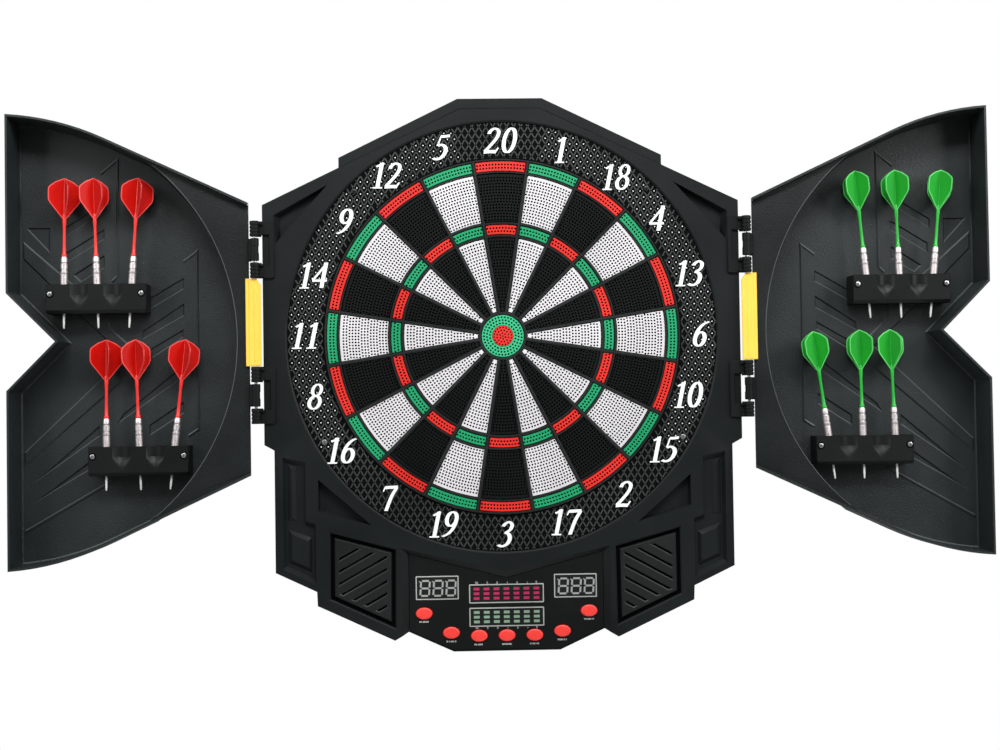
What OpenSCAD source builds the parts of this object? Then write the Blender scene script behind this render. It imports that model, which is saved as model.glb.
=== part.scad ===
// Electronic soft-tip dart board in a wall cabinet with two folding doors.
// +X is to the right, +Z up, and the room is at -Y. The origin is on the wall, behind the bull's-eye.
// Depths are stand-offs: how far a face stands out from the wall.

/* [Cabinet] */
// Stand-off of the cabinet's front face
cabinet_depth = 38; // [36:0.5:38]
// Thickness of the moulded shell
shell_wall = 3; // [2.5:0.5:3]
// Radius of the round opening that takes the board
opening_r = 202.5; // [202.5:0.5:204]
// Depth of the cast-in triangular pockets
pocket_depth = 8; // [4:1:9]
// Depth of the sunk side panels
side_panel_depth = 4; // [3:0.5:5]

/* [Board] */
// Radius of the inner bull
inner_bull_r = 9.6; // [8:0.2:9.6]
// Radius of the outer bull
outer_bull_r = 19.9; // [18:0.1:19.9]
// Width of the spider's radial walls
spider_wall = 2.8; // [2.6:0.1:3]
// Gap between a segment and the spider
segment_gap = 0.6; // [0.4:0.1:0.7]
// How far a segment is pushed in before it closes its switch
segment_travel = 1.2; // [1:0.1:1.2]

/* [Doors] */
// Distance of each hinge pin from the centre plane
hinge_x = 231; // [230.5:0.5:231.5]
// Stand-off of the hinge pins
hinge_out = 43; // [43:0.25:43.5]
// Stand-off of the front edge of an open door
door_rim_out = 46.5; // [46.25:0.25:46.5]
// Thickness of a door's skin
door_skin = 3; // [2.5:0.25:3]
// Thickness of a door's edge walls
door_rim = 2.6; // [2.2:0.2:3]
// Radius of the bulge that covers the board
bulge_r = 213; // [212:1:214]

/* [Darts] */
// Pitch of the sockets in a dart holder
socket_pitch = 31.3; // [31:0.1:32]
// Radius of a socket
socket_r = 5.8; // [5.6:0.1:6]
// Radius of a dart's metal barrel
barrel_r = 3.5; // [3:0.1:3.6]
// Half width of a dart's flight
flight_half = 16.5; // [14:0.5:16.5]

/* [Hidden] */
$fn = 96;
housing_black = [0.13, 0.15, 0.15];
console_black = [0.04, 0.05, 0.05];
metal = [0.75, 0.75, 0.76];
pale = [0.93, 0.93, 0.92];
red = [0.85, 0.1, 0.08];
green = [0.05, 0.55, 0.3];
yellow = [0.97, 0.83, 0.28];
cut = 1;

// outline of the cabinet, right half, from the bottom edge up to the top edge
half_outline = [
    [50, -295.5], [92, -276.3], [104.8, -283.7], [176.5, -250.2],
    [177, -237], [215.5, -219], [215.5, -104.5], [224.5, -99.3],
    [224.5, 126], [152.5, 160.4], [152.5, 170.2], [40, 225]];
outline = both_sides(half_outline);
// console face, right half, from the bottom edge up to the point under the board
half_console = [[50, -294.2], [91.4, -275.4], [91.4, -203]];
console = concat([[0, -227]], flip(half_console), half_console);
grille_opening = [[-164, -182.3], [-164.3, -244], [-104.3, -272], [-103.4, -199]];
shoulder_pocket = [[-213.9, 116.2], [-212, 89.8], [-162.9, 144.5]];
hip_pocket = [[-175, -132], [-175, -161.5], [-125, -176]];
side_panel = [
    [-208, -112], [-208, -221.5], [-176.5, -236], [-176.5, -177], [-186, -173.5], [-186, -121.5]];

// depths of the stack behind the board's face
front_back = cabinet_depth - shell_wall;
ledge_out = front_back - 0.6;
ledge_t = 3;
ledge_in_r = 187;
catch_out = ledge_out + 2.6;
spider_out = cabinet_depth + 0.4;
spider_back = 27.6;
segment_out = spider_out - 1.2;
segment_back = 28.4;
rubber_out = 27;
switch_out = 26;
board_out = 25.6;
board_back = 21.6;
board_r = 178;

// rings of the spider, each as an inner and an outer radius
hub_ring = [20.3, 22.8];
triple_inner = [93.3, 95.6];
triple_outer = [105.5, 107.5];
double_inner = [153.8, 155.4];
double_outer = [165.6, 167.6];
spider_rings = [hub_ring, triple_inner, triple_outer, double_inner, double_outer];
sector = 18;
sector_reach = 220;

// console stack
console_out = cabinet_depth - 5;
console_t = 2;
console_back = console_out - console_t;
score_x = 65;
score_z = -235.6;
score_size = [38.4, 20.4];
cricket_z = [-241.9, -263.8];
cricket_size = [68.4, 16];
pcb_out = 24;
pcb_t = 1.6;
button_places = [
    [-77.5, -259.3], [-52.2, -277.8], [-26.1, -281.1], [0, -281.1],
    [26.1, -281.1], [52.2, -277.8], [77.5, -259.3]];
button_size = [7.75, 5.45];
button_gap = 0.35;
button_proud = 2;
button_flange = 1.2;
button_foot = 27.3;

// fixings
screw_r = 1.2;
boss_r = 3.2;
cover_t = 2.5;
cover_gap = 0.2;
cover_screws = [[45, 212], [205, 100], [205, -85], [205, -205], [98.4, -240], [30, -214]];
ring_screw_r = 194.5;
ring_screw_angles = [45, 135, 210, 330];
hang_x = 100;
hang_z = 170;
hang_r = 4.5;
hang_slot = 2.4;
hang_rise = 10;

// power inlet in the right-hand wall
inlet_z = -154.5;
inlet_out = 18;
inlet_body_r = 5.5;
side_x = 215.5;

// hinges
hinge_places = [83.6, -52.6];
hinge_len = 53.5;
knuckle_r = 4.5;
door_knuckle_r = 3.7;
end_knuckle = 14.5;
door_knuckle = 21;
pin_r = 1.5;
pin_play = 0.06;
leaf_t = 2.5;
leaf_edge_x = 213.5;
leaf_window = [7, 28];
leaf_window_in = 6;

// doors, drawn open on the left: w is the distance from the centre plane
door_hinge_w = hinge_x + 6;
door_free_w = 2 * hinge_x - 1;
door_corner_z = 127.5;
door_slope = 25;
door_arc_w = 370;
door_arc_r = 250;
notch_half = 45.5;
notch_w = 416;
arc_steps = 10;
door_depth = 42;
floor_back = door_rim_out - door_depth;
floor_out = floor_back + door_skin;
flange_out = door_rim_out - 6;
flange_back = flange_out - door_skin;
arc_centre = [
    door_arc_w + door_arc_r * sin(door_slope),
    door_corner_z + (door_arc_w - door_hinge_w) * tan(door_slope) - door_arc_r * cos(door_slope)];
arc_end = asin((arc_centre[0] - door_free_w) / door_arc_r);
door_top = concat([[door_hinge_w, door_corner_z]], [for (i = [0 : arc_steps])
    let (a = door_slope + (arc_end - door_slope) * i / arc_steps)
    arc_centre + door_arc_r * [-sin(a), cos(a)]]);
door_bottom = [for (i = [len(door_top) - 1 : -1 : 0]) [door_top[i][0], -door_top[i][1]]];
notch = [[door_free_w, notch_half], [notch_w, 0], [door_free_w, -notch_half]];
door_points = concat(door_top, notch, door_bottom);
door_outline = [for (p = door_points) [-p[0], p[1]]];
strip_z = [-25.4, 56.4];

// dart holders: centre of each, left door, then the lean of its three darts
holder_size = [93, 27.5];
holder_out = 33;
upper_holder = [-381, 40.5];
lower_holder = [-342.7, -112.3];
dart_out = 25.5;
socket_floor = -8.75;
tip_hole_r = 3.4;
holder_screw_x = 42.5;
holder_screw_z = 4.5;
left_lean = [0.7, -1.5, 3.9, 0.5, -1.7, 6.3];
right_lean = [-5.1, -1.6, 5.4, -7.6, -0.9, -1.8];
left_turn = [25, 41, 25, 20, 41, 30];
right_turn = [38, 41, 30, 41, 38, 25];

// ---- shared geometry

function flip(points) = [for (i = [len(points) - 1 : -1 : 0]) [-points[i][0], points[i][1]]];
function both_sides(half) = concat(half, flip(half));
function cross2(a, b) = a[0] * b[1] - a[1] * b[0];
function along(a, b) = (b - a) / norm(b - a);
function moved(p, u, d) = p + d * [-u[1], u[0]];
function meet(p, u, q, v) = p + u * cross2(q - p, v) / cross2(u, v);
// a counter-clockwise outline moved inwards by d, or outwards where d is negative
function inset(points, d) = let (n = len(points)) [for (i = [0 : n - 1])
    let (b = points[i], u = along(points[(i + n - 1) % n], b), v = along(b, points[(i + 1) % n]))
    meet(moved(b, u, d), u, moved(b, v, d), v)];
function oval(rx, rz) = [for (a = [0 : 9 : 351]) [rx * cos(a), rz * sin(a)]];

// a flat shape drawn in X and Z, from one stand-off to another
module slab(near, far) {
    translate([0, -near, 0]) rotate([90, 0, 0]) linear_extrude(far - near) children();
}

module disc(r, near, far) {
    translate([0, -near, 0]) rotate([90, 0, 0]) cylinder(r = r, h = far - near);
}

module ring(r_in, r_out, near, far) {
    difference() {
        disc(r_out, near, far);
        disc(r_in, near - cut, far + cut);
    }
}

module both_hands() {
    children();
    mirror([1, 0, 0]) children();
}

// ---- cabinet

module shell_blank() {
    difference() {
        slab(0, cabinet_depth) polygon(outline);
        slab(-cut, front_back) polygon(inset(outline, shell_wall));
    }
    ring(ledge_in_r, opening_r + shell_wall, ledge_out - ledge_t, front_back);
    both_hands() {
        pocket_pad(shoulder_pocket, pocket_depth);
        pocket_pad(hip_pocket, pocket_depth);
        pocket_pad(side_panel, side_panel_depth);
    }
    slab(console_back - ledge_t, front_back) intersection() {
        polygon(inset(console, -shell_wall));
        polygon(outline);
    }
    cover_bosses();
}

module pocket_pad(shape, depth) {
    pad_t = 2.5;
    slab(cabinet_depth - depth - pad_t, front_back) polygon(inset(shape, -pad_t));
}

module cover_bosses() {
    boss_back = cover_t + cover_gap;
    for (p = cover_screws)
        both_hands() translate([p[0], 0, p[1]]) disc(boss_r, boss_back, front_back);
}

module pocket_cut(shape, depth) {
    slab(cabinet_depth - depth, cabinet_depth + cut) polygon(shape);
}

module ring_screw_places() {
    for (a = ring_screw_angles)
        translate([ring_screw_r * cos(a), 0, ring_screw_r * sin(a)]) children();
}

module front_housing() {
    console_play = 0.2;
    pilot_end = 20;
    color(housing_black) difference() {
        shell_blank();
        disc(opening_r, ledge_out, cabinet_depth + cut);
        slab(console_back - ledge_t - cut, console_back + cut) polygon(inset(console, shell_wall));
        slab(console_back, cabinet_depth + cut) polygon(inset(console, -console_play));
        both_hands() {
            pocket_cut(shoulder_pocket, pocket_depth);
            pocket_cut(hip_pocket, pocket_depth);
            pocket_cut(side_panel, side_panel_depth);
            pocket_cut(grille_opening, cabinet_depth - front_back + cut);
        }
        for (p = cover_screws) both_hands() translate([p[0], 0, p[1]]) disc(screw_r, 0, pilot_end);
        ring_screw_places() disc(screw_r, ledge_out - ledge_t - cut, ledge_out + cut);
        translate([side_x - 2 * shell_wall, -inlet_out, inlet_z])
            rotate([0, 90, 0]) cylinder(r = inlet_body_r, h = 4 * shell_wall);
    }
}

module hanging_slot() {
    disc(hang_r, -cut, cover_t + cut);
    slab(-cut, cover_t + cut) translate([-hang_slot, 0]) square([2 * hang_slot, hang_rise]);
    translate([0, 0, hang_rise]) disc(hang_slot, -cut, cover_t + cut);
}

module back_cover() {
    rib_t = 2.5;
    rib_rs = [42, 150];
    head_sink = 1.9;
    head_hole_r = 3;
    color(housing_black) difference() {
        union() {
            slab(0, cover_t) polygon(inset(outline, shell_wall + cover_gap));
            for (r = rib_rs) ring(r, r + rib_t, cover_t, board_back);
        }
        for (p = cover_screws) both_hands() translate([p[0], 0, p[1]]) {
            disc(screw_r, -cut, cover_t + cut);
            disc(head_hole_r, -cut, head_sink);
        }
        both_hands() translate([hang_x, 0, hang_z]) hanging_slot();
    }
}

module housing_screws() {
    head_r = 2.8;
    head_t = 1.6;
    head_low = 0.2;
    color(metal) for (p = cover_screws) both_hands() translate([p[0], 0, p[1]]) difference() {
        union() {
            disc(screw_r, head_low, 16);
            disc(head_r, head_low, head_low + head_t);
        }
        slab(head_low - cut, head_low + 0.8) square([3.2, 0.8], center = true);
        slab(head_low - cut, head_low + 0.8) square([0.8, 3.2], center = true);
    }
}

// ---- board

module catch_ring() {
    edge_gap = 0.5;
    color(housing_black) difference() {
        ring(double_outer[1] + 0.1, opening_r - edge_gap, ledge_out, catch_out);
        ring_screw_places() disc(screw_r, ledge_out - cut, catch_out + cut);
    }
}

module ring_screws() {
    head_r = 2.6;
    head_t = 1.4;
    color(metal) ring_screw_places() difference() {
        union() {
            disc(screw_r, ledge_out - ledge_t, catch_out);
            disc(head_r, catch_out, catch_out + head_t);
        }
        slab(catch_out + 0.6, catch_out + head_t + cut) square([3, 0.7], center = true);
        slab(catch_out + 0.6, catch_out + head_t + cut) square([0.7, 3], center = true);
    }
}

module spokes(width, r_in, r_out, near, far) {
    for (i = [0 : 19])
        slab(near, far) rotate(sector * (i + 0.5))
            translate([r_in, -width / 2]) square([r_out - r_in, width]);
}

module spider() {
    overlap = 1;
    color(housing_black) union() {
        for (r = spider_rings) ring(r[0], r[1], spider_back, spider_out);
        spokes(spider_wall, hub_ring[1] - overlap, double_outer[0] + overlap, spider_back, spider_out);
    }
}

// ten wedges, every second sector; first = 0 holds the top one
module alternate_sectors(first) {
    near_r = 5;
    for (i = [0 : 9])
        slab(segment_back - cut, segment_out + cut) rotate(-sector * (2 * i + first)) polygon([
            near_r * [-sin(sector / 2), cos(sector / 2)], near_r * [sin(sector / 2), cos(sector / 2)],
            sector_reach * [sin(sector / 2), cos(sector / 2)],
            sector_reach * [-sin(sector / 2), cos(sector / 2)]]);
}

module ring_of_segments(inner, outer, first) {
    intersection() {
        difference() {
            ring(inner[1] + segment_gap, outer[0] - segment_gap, segment_back, segment_out);
            spokes(spider_wall + 2 * segment_gap, 1, sector_reach,
                segment_back - cut, segment_out + cut);
        }
        alternate_sectors(first);
    }
}

module double_red_segments() {
    color(red) ring_of_segments(double_inner, double_outer, 0);
}

module double_green_segments() {
    color(green) ring_of_segments(double_inner, double_outer, 1);
}

module triple_red_segments() {
    color(red) ring_of_segments(triple_inner, triple_outer, 0);
}

module triple_green_segments() {
    color(green) ring_of_segments(triple_inner, triple_outer, 1);
}

module black_single_segments() {
    color(console_black) {
        ring_of_segments(hub_ring, triple_inner, 0);
        ring_of_segments(triple_outer, double_inner, 0);
    }
}

module white_single_segments() {
    color(pale) {
        ring_of_segments(hub_ring, triple_inner, 1);
        ring_of_segments(triple_outer, double_inner, 1);
    }
}

module outer_bull() {
    bull_gap = 0.4;
    color(green) ring(inner_bull_r + bull_gap, outer_bull_r, segment_back, segment_out);
}

module inner_bull() {
    color(red) disc(inner_bull_r, segment_back, segment_out);
}

module rubber_sheet() {
    color("dimgray") disc(board_r - 4, switch_out, rubber_out);
}

module switch_sheet() {
    tail = [30, 54];
    color("tan") union() {
        disc(board_r - 4, board_out, switch_out);
        slab(board_out, switch_out)
            translate([-tail[0] / 2, -board_r - tail[1]]) square([tail[0], tail[1] + 10]);
    }
}

module backing_board() {
    color("sienna") disc(board_r, board_back, board_out);
}

// ---- console

module console_panel() {
    color(console_black) difference() {
        slab(console_back, console_out) polygon(console);
        both_hands() translate([score_x, 0, score_z]) slab(console_back - cut, console_out + cut)
            square(score_size, center = true);
        for (z = cricket_z) translate([0, 0, z]) slab(console_back - cut, console_out + cut)
            square(cricket_size, center = true);
        for (p = button_places) translate([p[0], 0, p[1]]) slab(console_back - cut, console_out + cut)
            polygon(oval(button_size[0] + button_gap, button_size[1] + button_gap));
    }
}

module display(size, play) {
    sunk = 0.2;
    slab(pcb_out, console_out - sunk) square(size - [play, play], center = true);
}

module score_displays() {
    color(console_black) both_hands() translate([score_x, 0, score_z]) display(score_size, 0.4);
}

module cricket_displays() {
    color(console_black) for (z = cricket_z) translate([0, 0, z]) display(cricket_size, 0.4);
}

module control_board() {
    switch_half = 3;
    switch_h = 1.6;
    pcb = [[-86, -225], [-86, -270], [-60, -286], [60, -286], [86, -270], [86, -225]];
    color("darkgreen") union() {
        slab(pcb_out - pcb_t, pcb_out) polygon(pcb);
        for (p = button_places) translate([p[0], 0, p[1]]) slab(pcb_out, pcb_out + switch_h)
            square(2 * switch_half, center = true);
    }
}

module speaker() {
    place = [-134, -226];
    rim_back = 31;
    cone_back = 24;
    magnet_back = 17;
    color("gray") translate([place[0], 0, place[1]]) union() {
        disc(20, rim_back, front_back - 2);
        disc(15, cone_back, rim_back);
        disc(10, magnet_back, cone_back);
    }
}

module left_grille() {
    flange = 1.5;
    flange_t = 2;
    groove = 4;
    proud = 36.5;
    slot_w = 2.2;
    slot_step = 11.4;
    slot_tilt = 29;
    middle = [-132, -228];
    color(housing_black) difference() {
        union() {
            slab(front_back - flange_t, front_back) polygon(inset(grille_opening, -flange));
            slab(front_back, proud) polygon(inset(grille_opening, groove));
        }
        slab(front_back - flange_t - cut, proud + cut) intersection() {
            polygon(inset(grille_opening, groove + 5));
            for (i = [-3 : 3])
                translate([middle[0], middle[1] + i * slot_step]) rotate(slot_tilt)
                    square([80, slot_w], center = true);
        }
    }
}

module right_grille() {
    mirror([1, 0, 0]) left_grille();
}

module power_inlet() {
    flange_r = 7.3;
    flange_t = 1.3;
    socket_bore_r = 2.8;
    socket_depth = 10;
    body_len = 13;
    pin_body_r = 1;
    color(console_black) translate([side_x, -inlet_out, inlet_z]) rotate([0, 90, 0]) union() {
        difference() {
            union() {
                cylinder(r = flange_r, h = flange_t);
                translate([0, 0, -body_len]) cylinder(r = inlet_body_r, h = body_len);
            }
            translate([0, 0, flange_t - socket_depth])
                cylinder(r = socket_bore_r, h = socket_depth + cut);
        }
        translate([0, 0, -body_len]) cylinder(r = pin_body_r, h = body_len);
    }
}

module button(i) {
    foot_half = [4, 2.5];
    flange_grow = 1.2;
    flange_front = console_back - 0.3;
    color(red) translate([button_places[i][0], 0, button_places[i][1]]) union() {
        slab(flange_front - button_flange, console_out + button_proud)
            polygon(oval(button_size[0], button_size[1]));
        slab(flange_front - button_flange, flange_front)
            polygon(oval(button_size[0] + flange_grow, button_size[1] + flange_grow));
        slab(button_foot, flange_front) square(2 * foot_half, center = true);
    }
}

// ---- hinges

module hinge_tube(r, bore, z_mid, len) {
    translate([-hinge_x, -hinge_out, z_mid - len / 2]) difference() {
        cylinder(r = r, h = len);
        translate([0, 0, -cut]) cylinder(r = bore, h = len + 2 * cut);
    }
}

module cabinet_leaf(z_mid) {
    end_z = (hinge_len - end_knuckle) / 2;
    leaf_out = cabinet_depth + leaf_t;
    window_x = -hinge_x + leaf_window_in;
    middle_gap = door_knuckle + 3.5;
    difference() {
        union() {
            for (s = [-1, 1]) translate([-hinge_x, -hinge_out, z_mid + s * end_z - end_knuckle / 2])
                cylinder(r = knuckle_r, h = end_knuckle);
            translate([0, 0, z_mid]) slab(cabinet_depth, leaf_out)
                translate([-hinge_x, -hinge_len / 2]) square([hinge_x - leaf_edge_x, hinge_len]);
        }
        translate([-hinge_x, -hinge_out, z_mid - hinge_len]) cylinder(r = pin_r, h = 2 * hinge_len);
        translate([0, 0, z_mid]) slab(cabinet_depth - cut, leaf_out + cut)
            translate([window_x, -leaf_window[1] / 2]) square(leaf_window);
        translate([0, 0, z_mid]) slab(cabinet_depth - cut, hinge_out + 2 * knuckle_r)
            translate([-hinge_x - 2 * knuckle_r, -middle_gap / 2])
                square([2 * knuckle_r + leaf_window_in, middle_gap]);
    }
}

module left_hinge_leaves() {
    color(housing_black) for (z = hinge_places) cabinet_leaf(z);
}

module right_hinge_leaves() {
    mirror([1, 0, 0]) left_hinge_leaves();
}

module hinge_pins() {
    color(metal) both_hands() for (z = hinge_places)
        translate([-hinge_x, -hinge_out, z - hinge_len / 2]) cylinder(r = pin_r, h = hinge_len);
}

// the middle tube of each hinge, on a lug that is screwed behind the door's flange
module left_door_knuckles() {
    lug_reach = 11;
    lug_t = 2.5;
    color(housing_black) for (z = hinge_places) difference() {
        union() {
            translate([-hinge_x, -hinge_out, z - door_knuckle / 2])
                cylinder(r = door_knuckle_r, h = door_knuckle);
            translate([0, 0, z]) slab(flange_back - lug_t, flange_back)
                translate([-door_hinge_w - lug_reach, -door_knuckle / 2])
                    square([lug_reach + 2, door_knuckle]);
            translate([0, 0, z]) slab(flange_back - lug_t, hinge_out)
                translate([-door_hinge_w + 0.2, -door_knuckle / 2]) square([3, door_knuckle]);
        }
        translate([-hinge_x, -hinge_out, z - door_knuckle])
            cylinder(r = pin_r + pin_play, h = 2 * door_knuckle);
    }
}

module right_door_knuckles() {
    mirror([1, 0, 0]) left_door_knuckles();
}

// ---- doors

module bulge(r, near, far) {
    translate([-2 * hinge_x, 0, 0]) disc(r, near, far);
}

module left_door() {
    hinge_edge_x = -door_hinge_w - door_rim - 0.1;
    // the hinge edge has no wall, so its two corners lie past the edge
    inner = [for (p = inset(door_outline, door_rim))
        [p[0] > hinge_edge_x ? p[0] + 2 * door_rim : p[0], p[1]]];
    color(housing_black) difference() {
        union() {
            slab(flange_back, door_rim_out) polygon(door_outline);
            intersection() {
                slab(floor_back, door_rim_out) polygon(door_outline);
                bulge(bulge_r + door_skin, floor_back - cut, door_rim_out + cut);
            }
        }
        slab(flange_out, door_rim_out + cut) polygon(inner);
        intersection() {
            slab(floor_out, door_rim_out + cut) polygon(inner);
            bulge(bulge_r, floor_out, door_rim_out + cut);
        }
        holder_screw_places(-1) disc(screw_r, floor_back + 0.6, floor_out + cut);
    }
}

module right_door() {
    mirror([1, 0, 0]) left_door();
}

module left_edge_strip() {
    strip_t = 2;
    strip_x = [-door_hinge_w + 0.2, -hinge_x + 5.5];
    color(yellow) translate([0, 0, strip_z[0]]) slab(hinge_out - strip_t / 2, hinge_out + strip_t / 2)
        translate([strip_x[0], 0]) square([strip_x[1] - strip_x[0], strip_z[1] - strip_z[0]]);
    color(yellow) translate([0, 0, strip_z[0]]) slab(flange_out, hinge_out + strip_t / 2)
        translate([-door_hinge_w - 3, 0]) square([3.2, strip_z[1] - strip_z[0]]);
}

module right_edge_strip() {
    mirror([1, 0, 0]) left_edge_strip();
}

// ---- dart holders and darts

module holder_screw_places(side) {
    for (place = [upper_holder, lower_holder]) for (s = [-1, 1])
        translate([-side * place[0] + s * holder_screw_x, 0, place[1] + holder_screw_z]) children();
}

module holder(place) {
    half = holder_size / 2;
    flute_r = 9;
    color(housing_black) translate([place[0], 0, place[1]]) difference() {
        slab(floor_out, holder_out) square(holder_size, center = true);
        for (x = [-socket_pitch, 0, socket_pitch]) translate([x, -dart_out, 0]) {
            translate([0, 0, socket_floor]) cylinder(r = socket_r, h = holder_size[1]);
            translate([0, 0, -holder_size[1]]) cylinder(r = tip_hole_r, h = holder_size[1]);
        }
        for (s = [-1, 1]) translate([s * socket_pitch / 2, -holder_out - flute_r + 4, 0])
            cylinder(r = flute_r, h = holder_size[1]);
        for (s = [-1, 1]) translate([s * holder_screw_x, 0, holder_screw_z])
            disc(screw_r + 0.2, floor_out - cut, holder_out + cut);
    }
}

module holder_screws(side) {
    head_r = 2.4;
    head_t = 1.5;
    color(metal) holder_screw_places(side) difference() {
        union() {
            disc(screw_r, floor_back + 1, holder_out);
            disc(head_r, holder_out, holder_out + head_t);
        }
        slab(holder_out + 0.7, holder_out + head_t + cut) square([2.8, 0.7], center = true);
        slab(holder_out + 0.7, holder_out + head_t + cut) square([0.7, 2.8], center = true);
    }
}

module flight_wing(wing_t) {
    translate([0, wing_t / 2, 0]) rotate([90, 0, 0]) linear_extrude(wing_t) polygon([
        [0, 74], [flight_half, 93], [flight_half, 105], [flight_half - 3.5, 111], [0, 114.5],
        [-flight_half + 3.5, 111], [-flight_half, 105], [-flight_half, 93]]);
}

module dart(place, lean, turn, shade) {
    tip_r = 1.2;
    tip_z = -27.8;
    barrel_z = [-8, 40];
    shaft_r = 1.9;
    shaft_top = 78;
    wing_t = 0.7;
    color(shade) translate([place[0], -dart_out, place[1]]) rotate([0, lean, 0]) union() {
        translate([0, 0, tip_z]) cylinder(r = tip_r, h = barrel_z[0] - tip_z + 1);
        translate([0, 0, barrel_z[0]]) cylinder(r = barrel_r, h = barrel_z[1] - barrel_z[0]);
        translate([0, 0, barrel_z[1] - 1]) cylinder(r = shaft_r, h = shaft_top - barrel_z[1] + 1);
        rotate(turn) flight_wing(wing_t);
        rotate(turn + 90) flight_wing(wing_t);
    }
}

// i counts 0 to 2 along the upper holder and 3 to 5 along the lower one, from left to right
module dart_in_holder(side, i, leans, turns, shade) {
    place = i < 3 ? upper_holder : lower_holder;
    column = i % 3 - 1;
    dart([-side * place[0] + column * socket_pitch, place[1]], leans[i], turns[i], shade);
}

module left_dart(i) {
    dart_in_holder(-1, i, left_lean, left_turn, red);
}

module right_dart(i) {
    dart_in_holder(1, i, right_lean, right_turn, green);
}

// ---- drawing

front_housing();
back_cover();
catch_ring();
spider();
rubber_sheet();
switch_sheet();
backing_board();
console_panel();
score_displays();
cricket_displays();
control_board();
speaker();
left_grille();
right_grille();
power_inlet();
housing_screws();
ring_screws();
left_hinge_leaves();
right_hinge_leaves();
hinge_pins();
for (i = [0 : 6]) button(i);
double_red_segments();
double_green_segments();
triple_red_segments();
triple_green_segments();
black_single_segments();
white_single_segments();
outer_bull();
inner_bull();
left_door();
right_door();
left_door_knuckles();
right_door_knuckles();
left_edge_strip();
right_edge_strip();
holder(upper_holder);  // upper_left_holder
holder(lower_holder);  // lower_left_holder
mirror([1, 0, 0]) holder(upper_holder);  // upper_right_holder
mirror([1, 0, 0]) holder(lower_holder);  // lower_right_holder
holder_screws(-1);  // left_holder_screws
holder_screws(1);  // right_holder_screws
for (i = [0 : 5]) left_dart(i);
for (i = [0 : 5]) right_dart(i);
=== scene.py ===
import math
import random

import bmesh
import bpy
import numpy as np
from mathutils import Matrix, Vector
from mathutils.geometry import delaunay_2d_cdt


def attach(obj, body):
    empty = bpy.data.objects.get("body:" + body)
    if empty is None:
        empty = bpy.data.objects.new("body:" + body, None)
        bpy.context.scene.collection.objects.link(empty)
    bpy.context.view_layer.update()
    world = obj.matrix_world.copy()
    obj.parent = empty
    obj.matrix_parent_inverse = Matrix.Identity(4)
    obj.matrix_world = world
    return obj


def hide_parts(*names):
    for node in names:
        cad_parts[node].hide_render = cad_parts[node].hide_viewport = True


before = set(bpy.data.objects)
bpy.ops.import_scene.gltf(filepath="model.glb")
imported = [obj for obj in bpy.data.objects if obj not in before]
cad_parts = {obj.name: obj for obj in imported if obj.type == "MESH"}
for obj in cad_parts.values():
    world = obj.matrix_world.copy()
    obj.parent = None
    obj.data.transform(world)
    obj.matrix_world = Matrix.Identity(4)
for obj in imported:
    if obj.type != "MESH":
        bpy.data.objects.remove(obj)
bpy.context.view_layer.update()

scene = bpy.context.scene

# ---- The studio
# A small pale round floor stands well under the wall-hung cabinet. Two soft boxes stand to the left and
# the right in front of it, and a wide one hangs above, so each door's own rim shades its floor.

scene.view_settings.view_transform = "Standard"

camera_data = bpy.data.cameras.new("camera")
camera_data.lens = 56.0456
camera_data.sensor_width = 36
camera = bpy.data.objects.new("camera", camera_data)
camera.location = (-0.04636, -1.5, -0.0728)
camera.rotation_euler = (math.pi / 2 + 0.024681, 0.014833, -0.029134)
scene.collection.objects.link(camera)
scene.camera = camera

def soft_box(name, place, aim, size, power):
    light = bpy.data.lights.new(name, "AREA")
    light.shape, light.size, light.size_y, light.energy = "RECTANGLE", size[0], size[1], power
    lamp = bpy.data.objects.new(name, light)
    lamp.location = place
    lamp.rotation_euler = (Vector(aim) - Vector(place)).to_track_quat("-Z", "Y").to_euler()
    lamp.visible_camera = False
    scene.collection.objects.link(lamp)

soft_box("left_soft_box", (-1.4, -0.95, 0.6), (-0.15, 0, 0), (0.7, 0.9), 11)
soft_box("right_soft_box", (1.4, -0.95, 0.6), (0.15, 0, 0), (0.7, 0.9), 16)
soft_box("top_soft_box", (0.1, -1.35, 1.3), (0, 0, 0.05), (1.5, 0.45), 36)
soft_box("back_soft_box", (0.3, 1.6, 1.0), (0, 0, 0), (1.2, 1.2), 22)

studio = bpy.data.worlds.new("studio")
studio.use_nodes = True
sky = studio.node_tree
sky.nodes.clear()
seen = sky.nodes.new("ShaderNodeBackground")
seen.inputs["Color"].default_value = (1, 1, 1, 1)
seen.inputs["Strength"].default_value = 1.0
fill = sky.nodes.new("ShaderNodeBackground")
fill.inputs["Color"].default_value = (0.94, 0.98, 1, 1)
fill.inputs["Strength"].default_value = 0.2
ray = sky.nodes.new("ShaderNodeLightPath")
choice = sky.nodes.new("ShaderNodeMixShader")
world_out = sky.nodes.new("ShaderNodeOutputWorld")
sky.links.new(ray.outputs["Is Camera Ray"], choice.inputs["Fac"])
sky.links.new(fill.outputs[0], choice.inputs[1])
sky.links.new(seen.outputs[0], choice.inputs[2])
sky.links.new(choice.outputs[0], world_out.inputs["Surface"])
scene.world = studio

def tree_of(name):
    material = bpy.data.materials.new(name)
    material.use_nodes = True
    return material, material.node_tree, material.node_tree.nodes["Principled BSDF"]

def joined(tree, source, target):
    tree.links.new(source, target)

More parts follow.
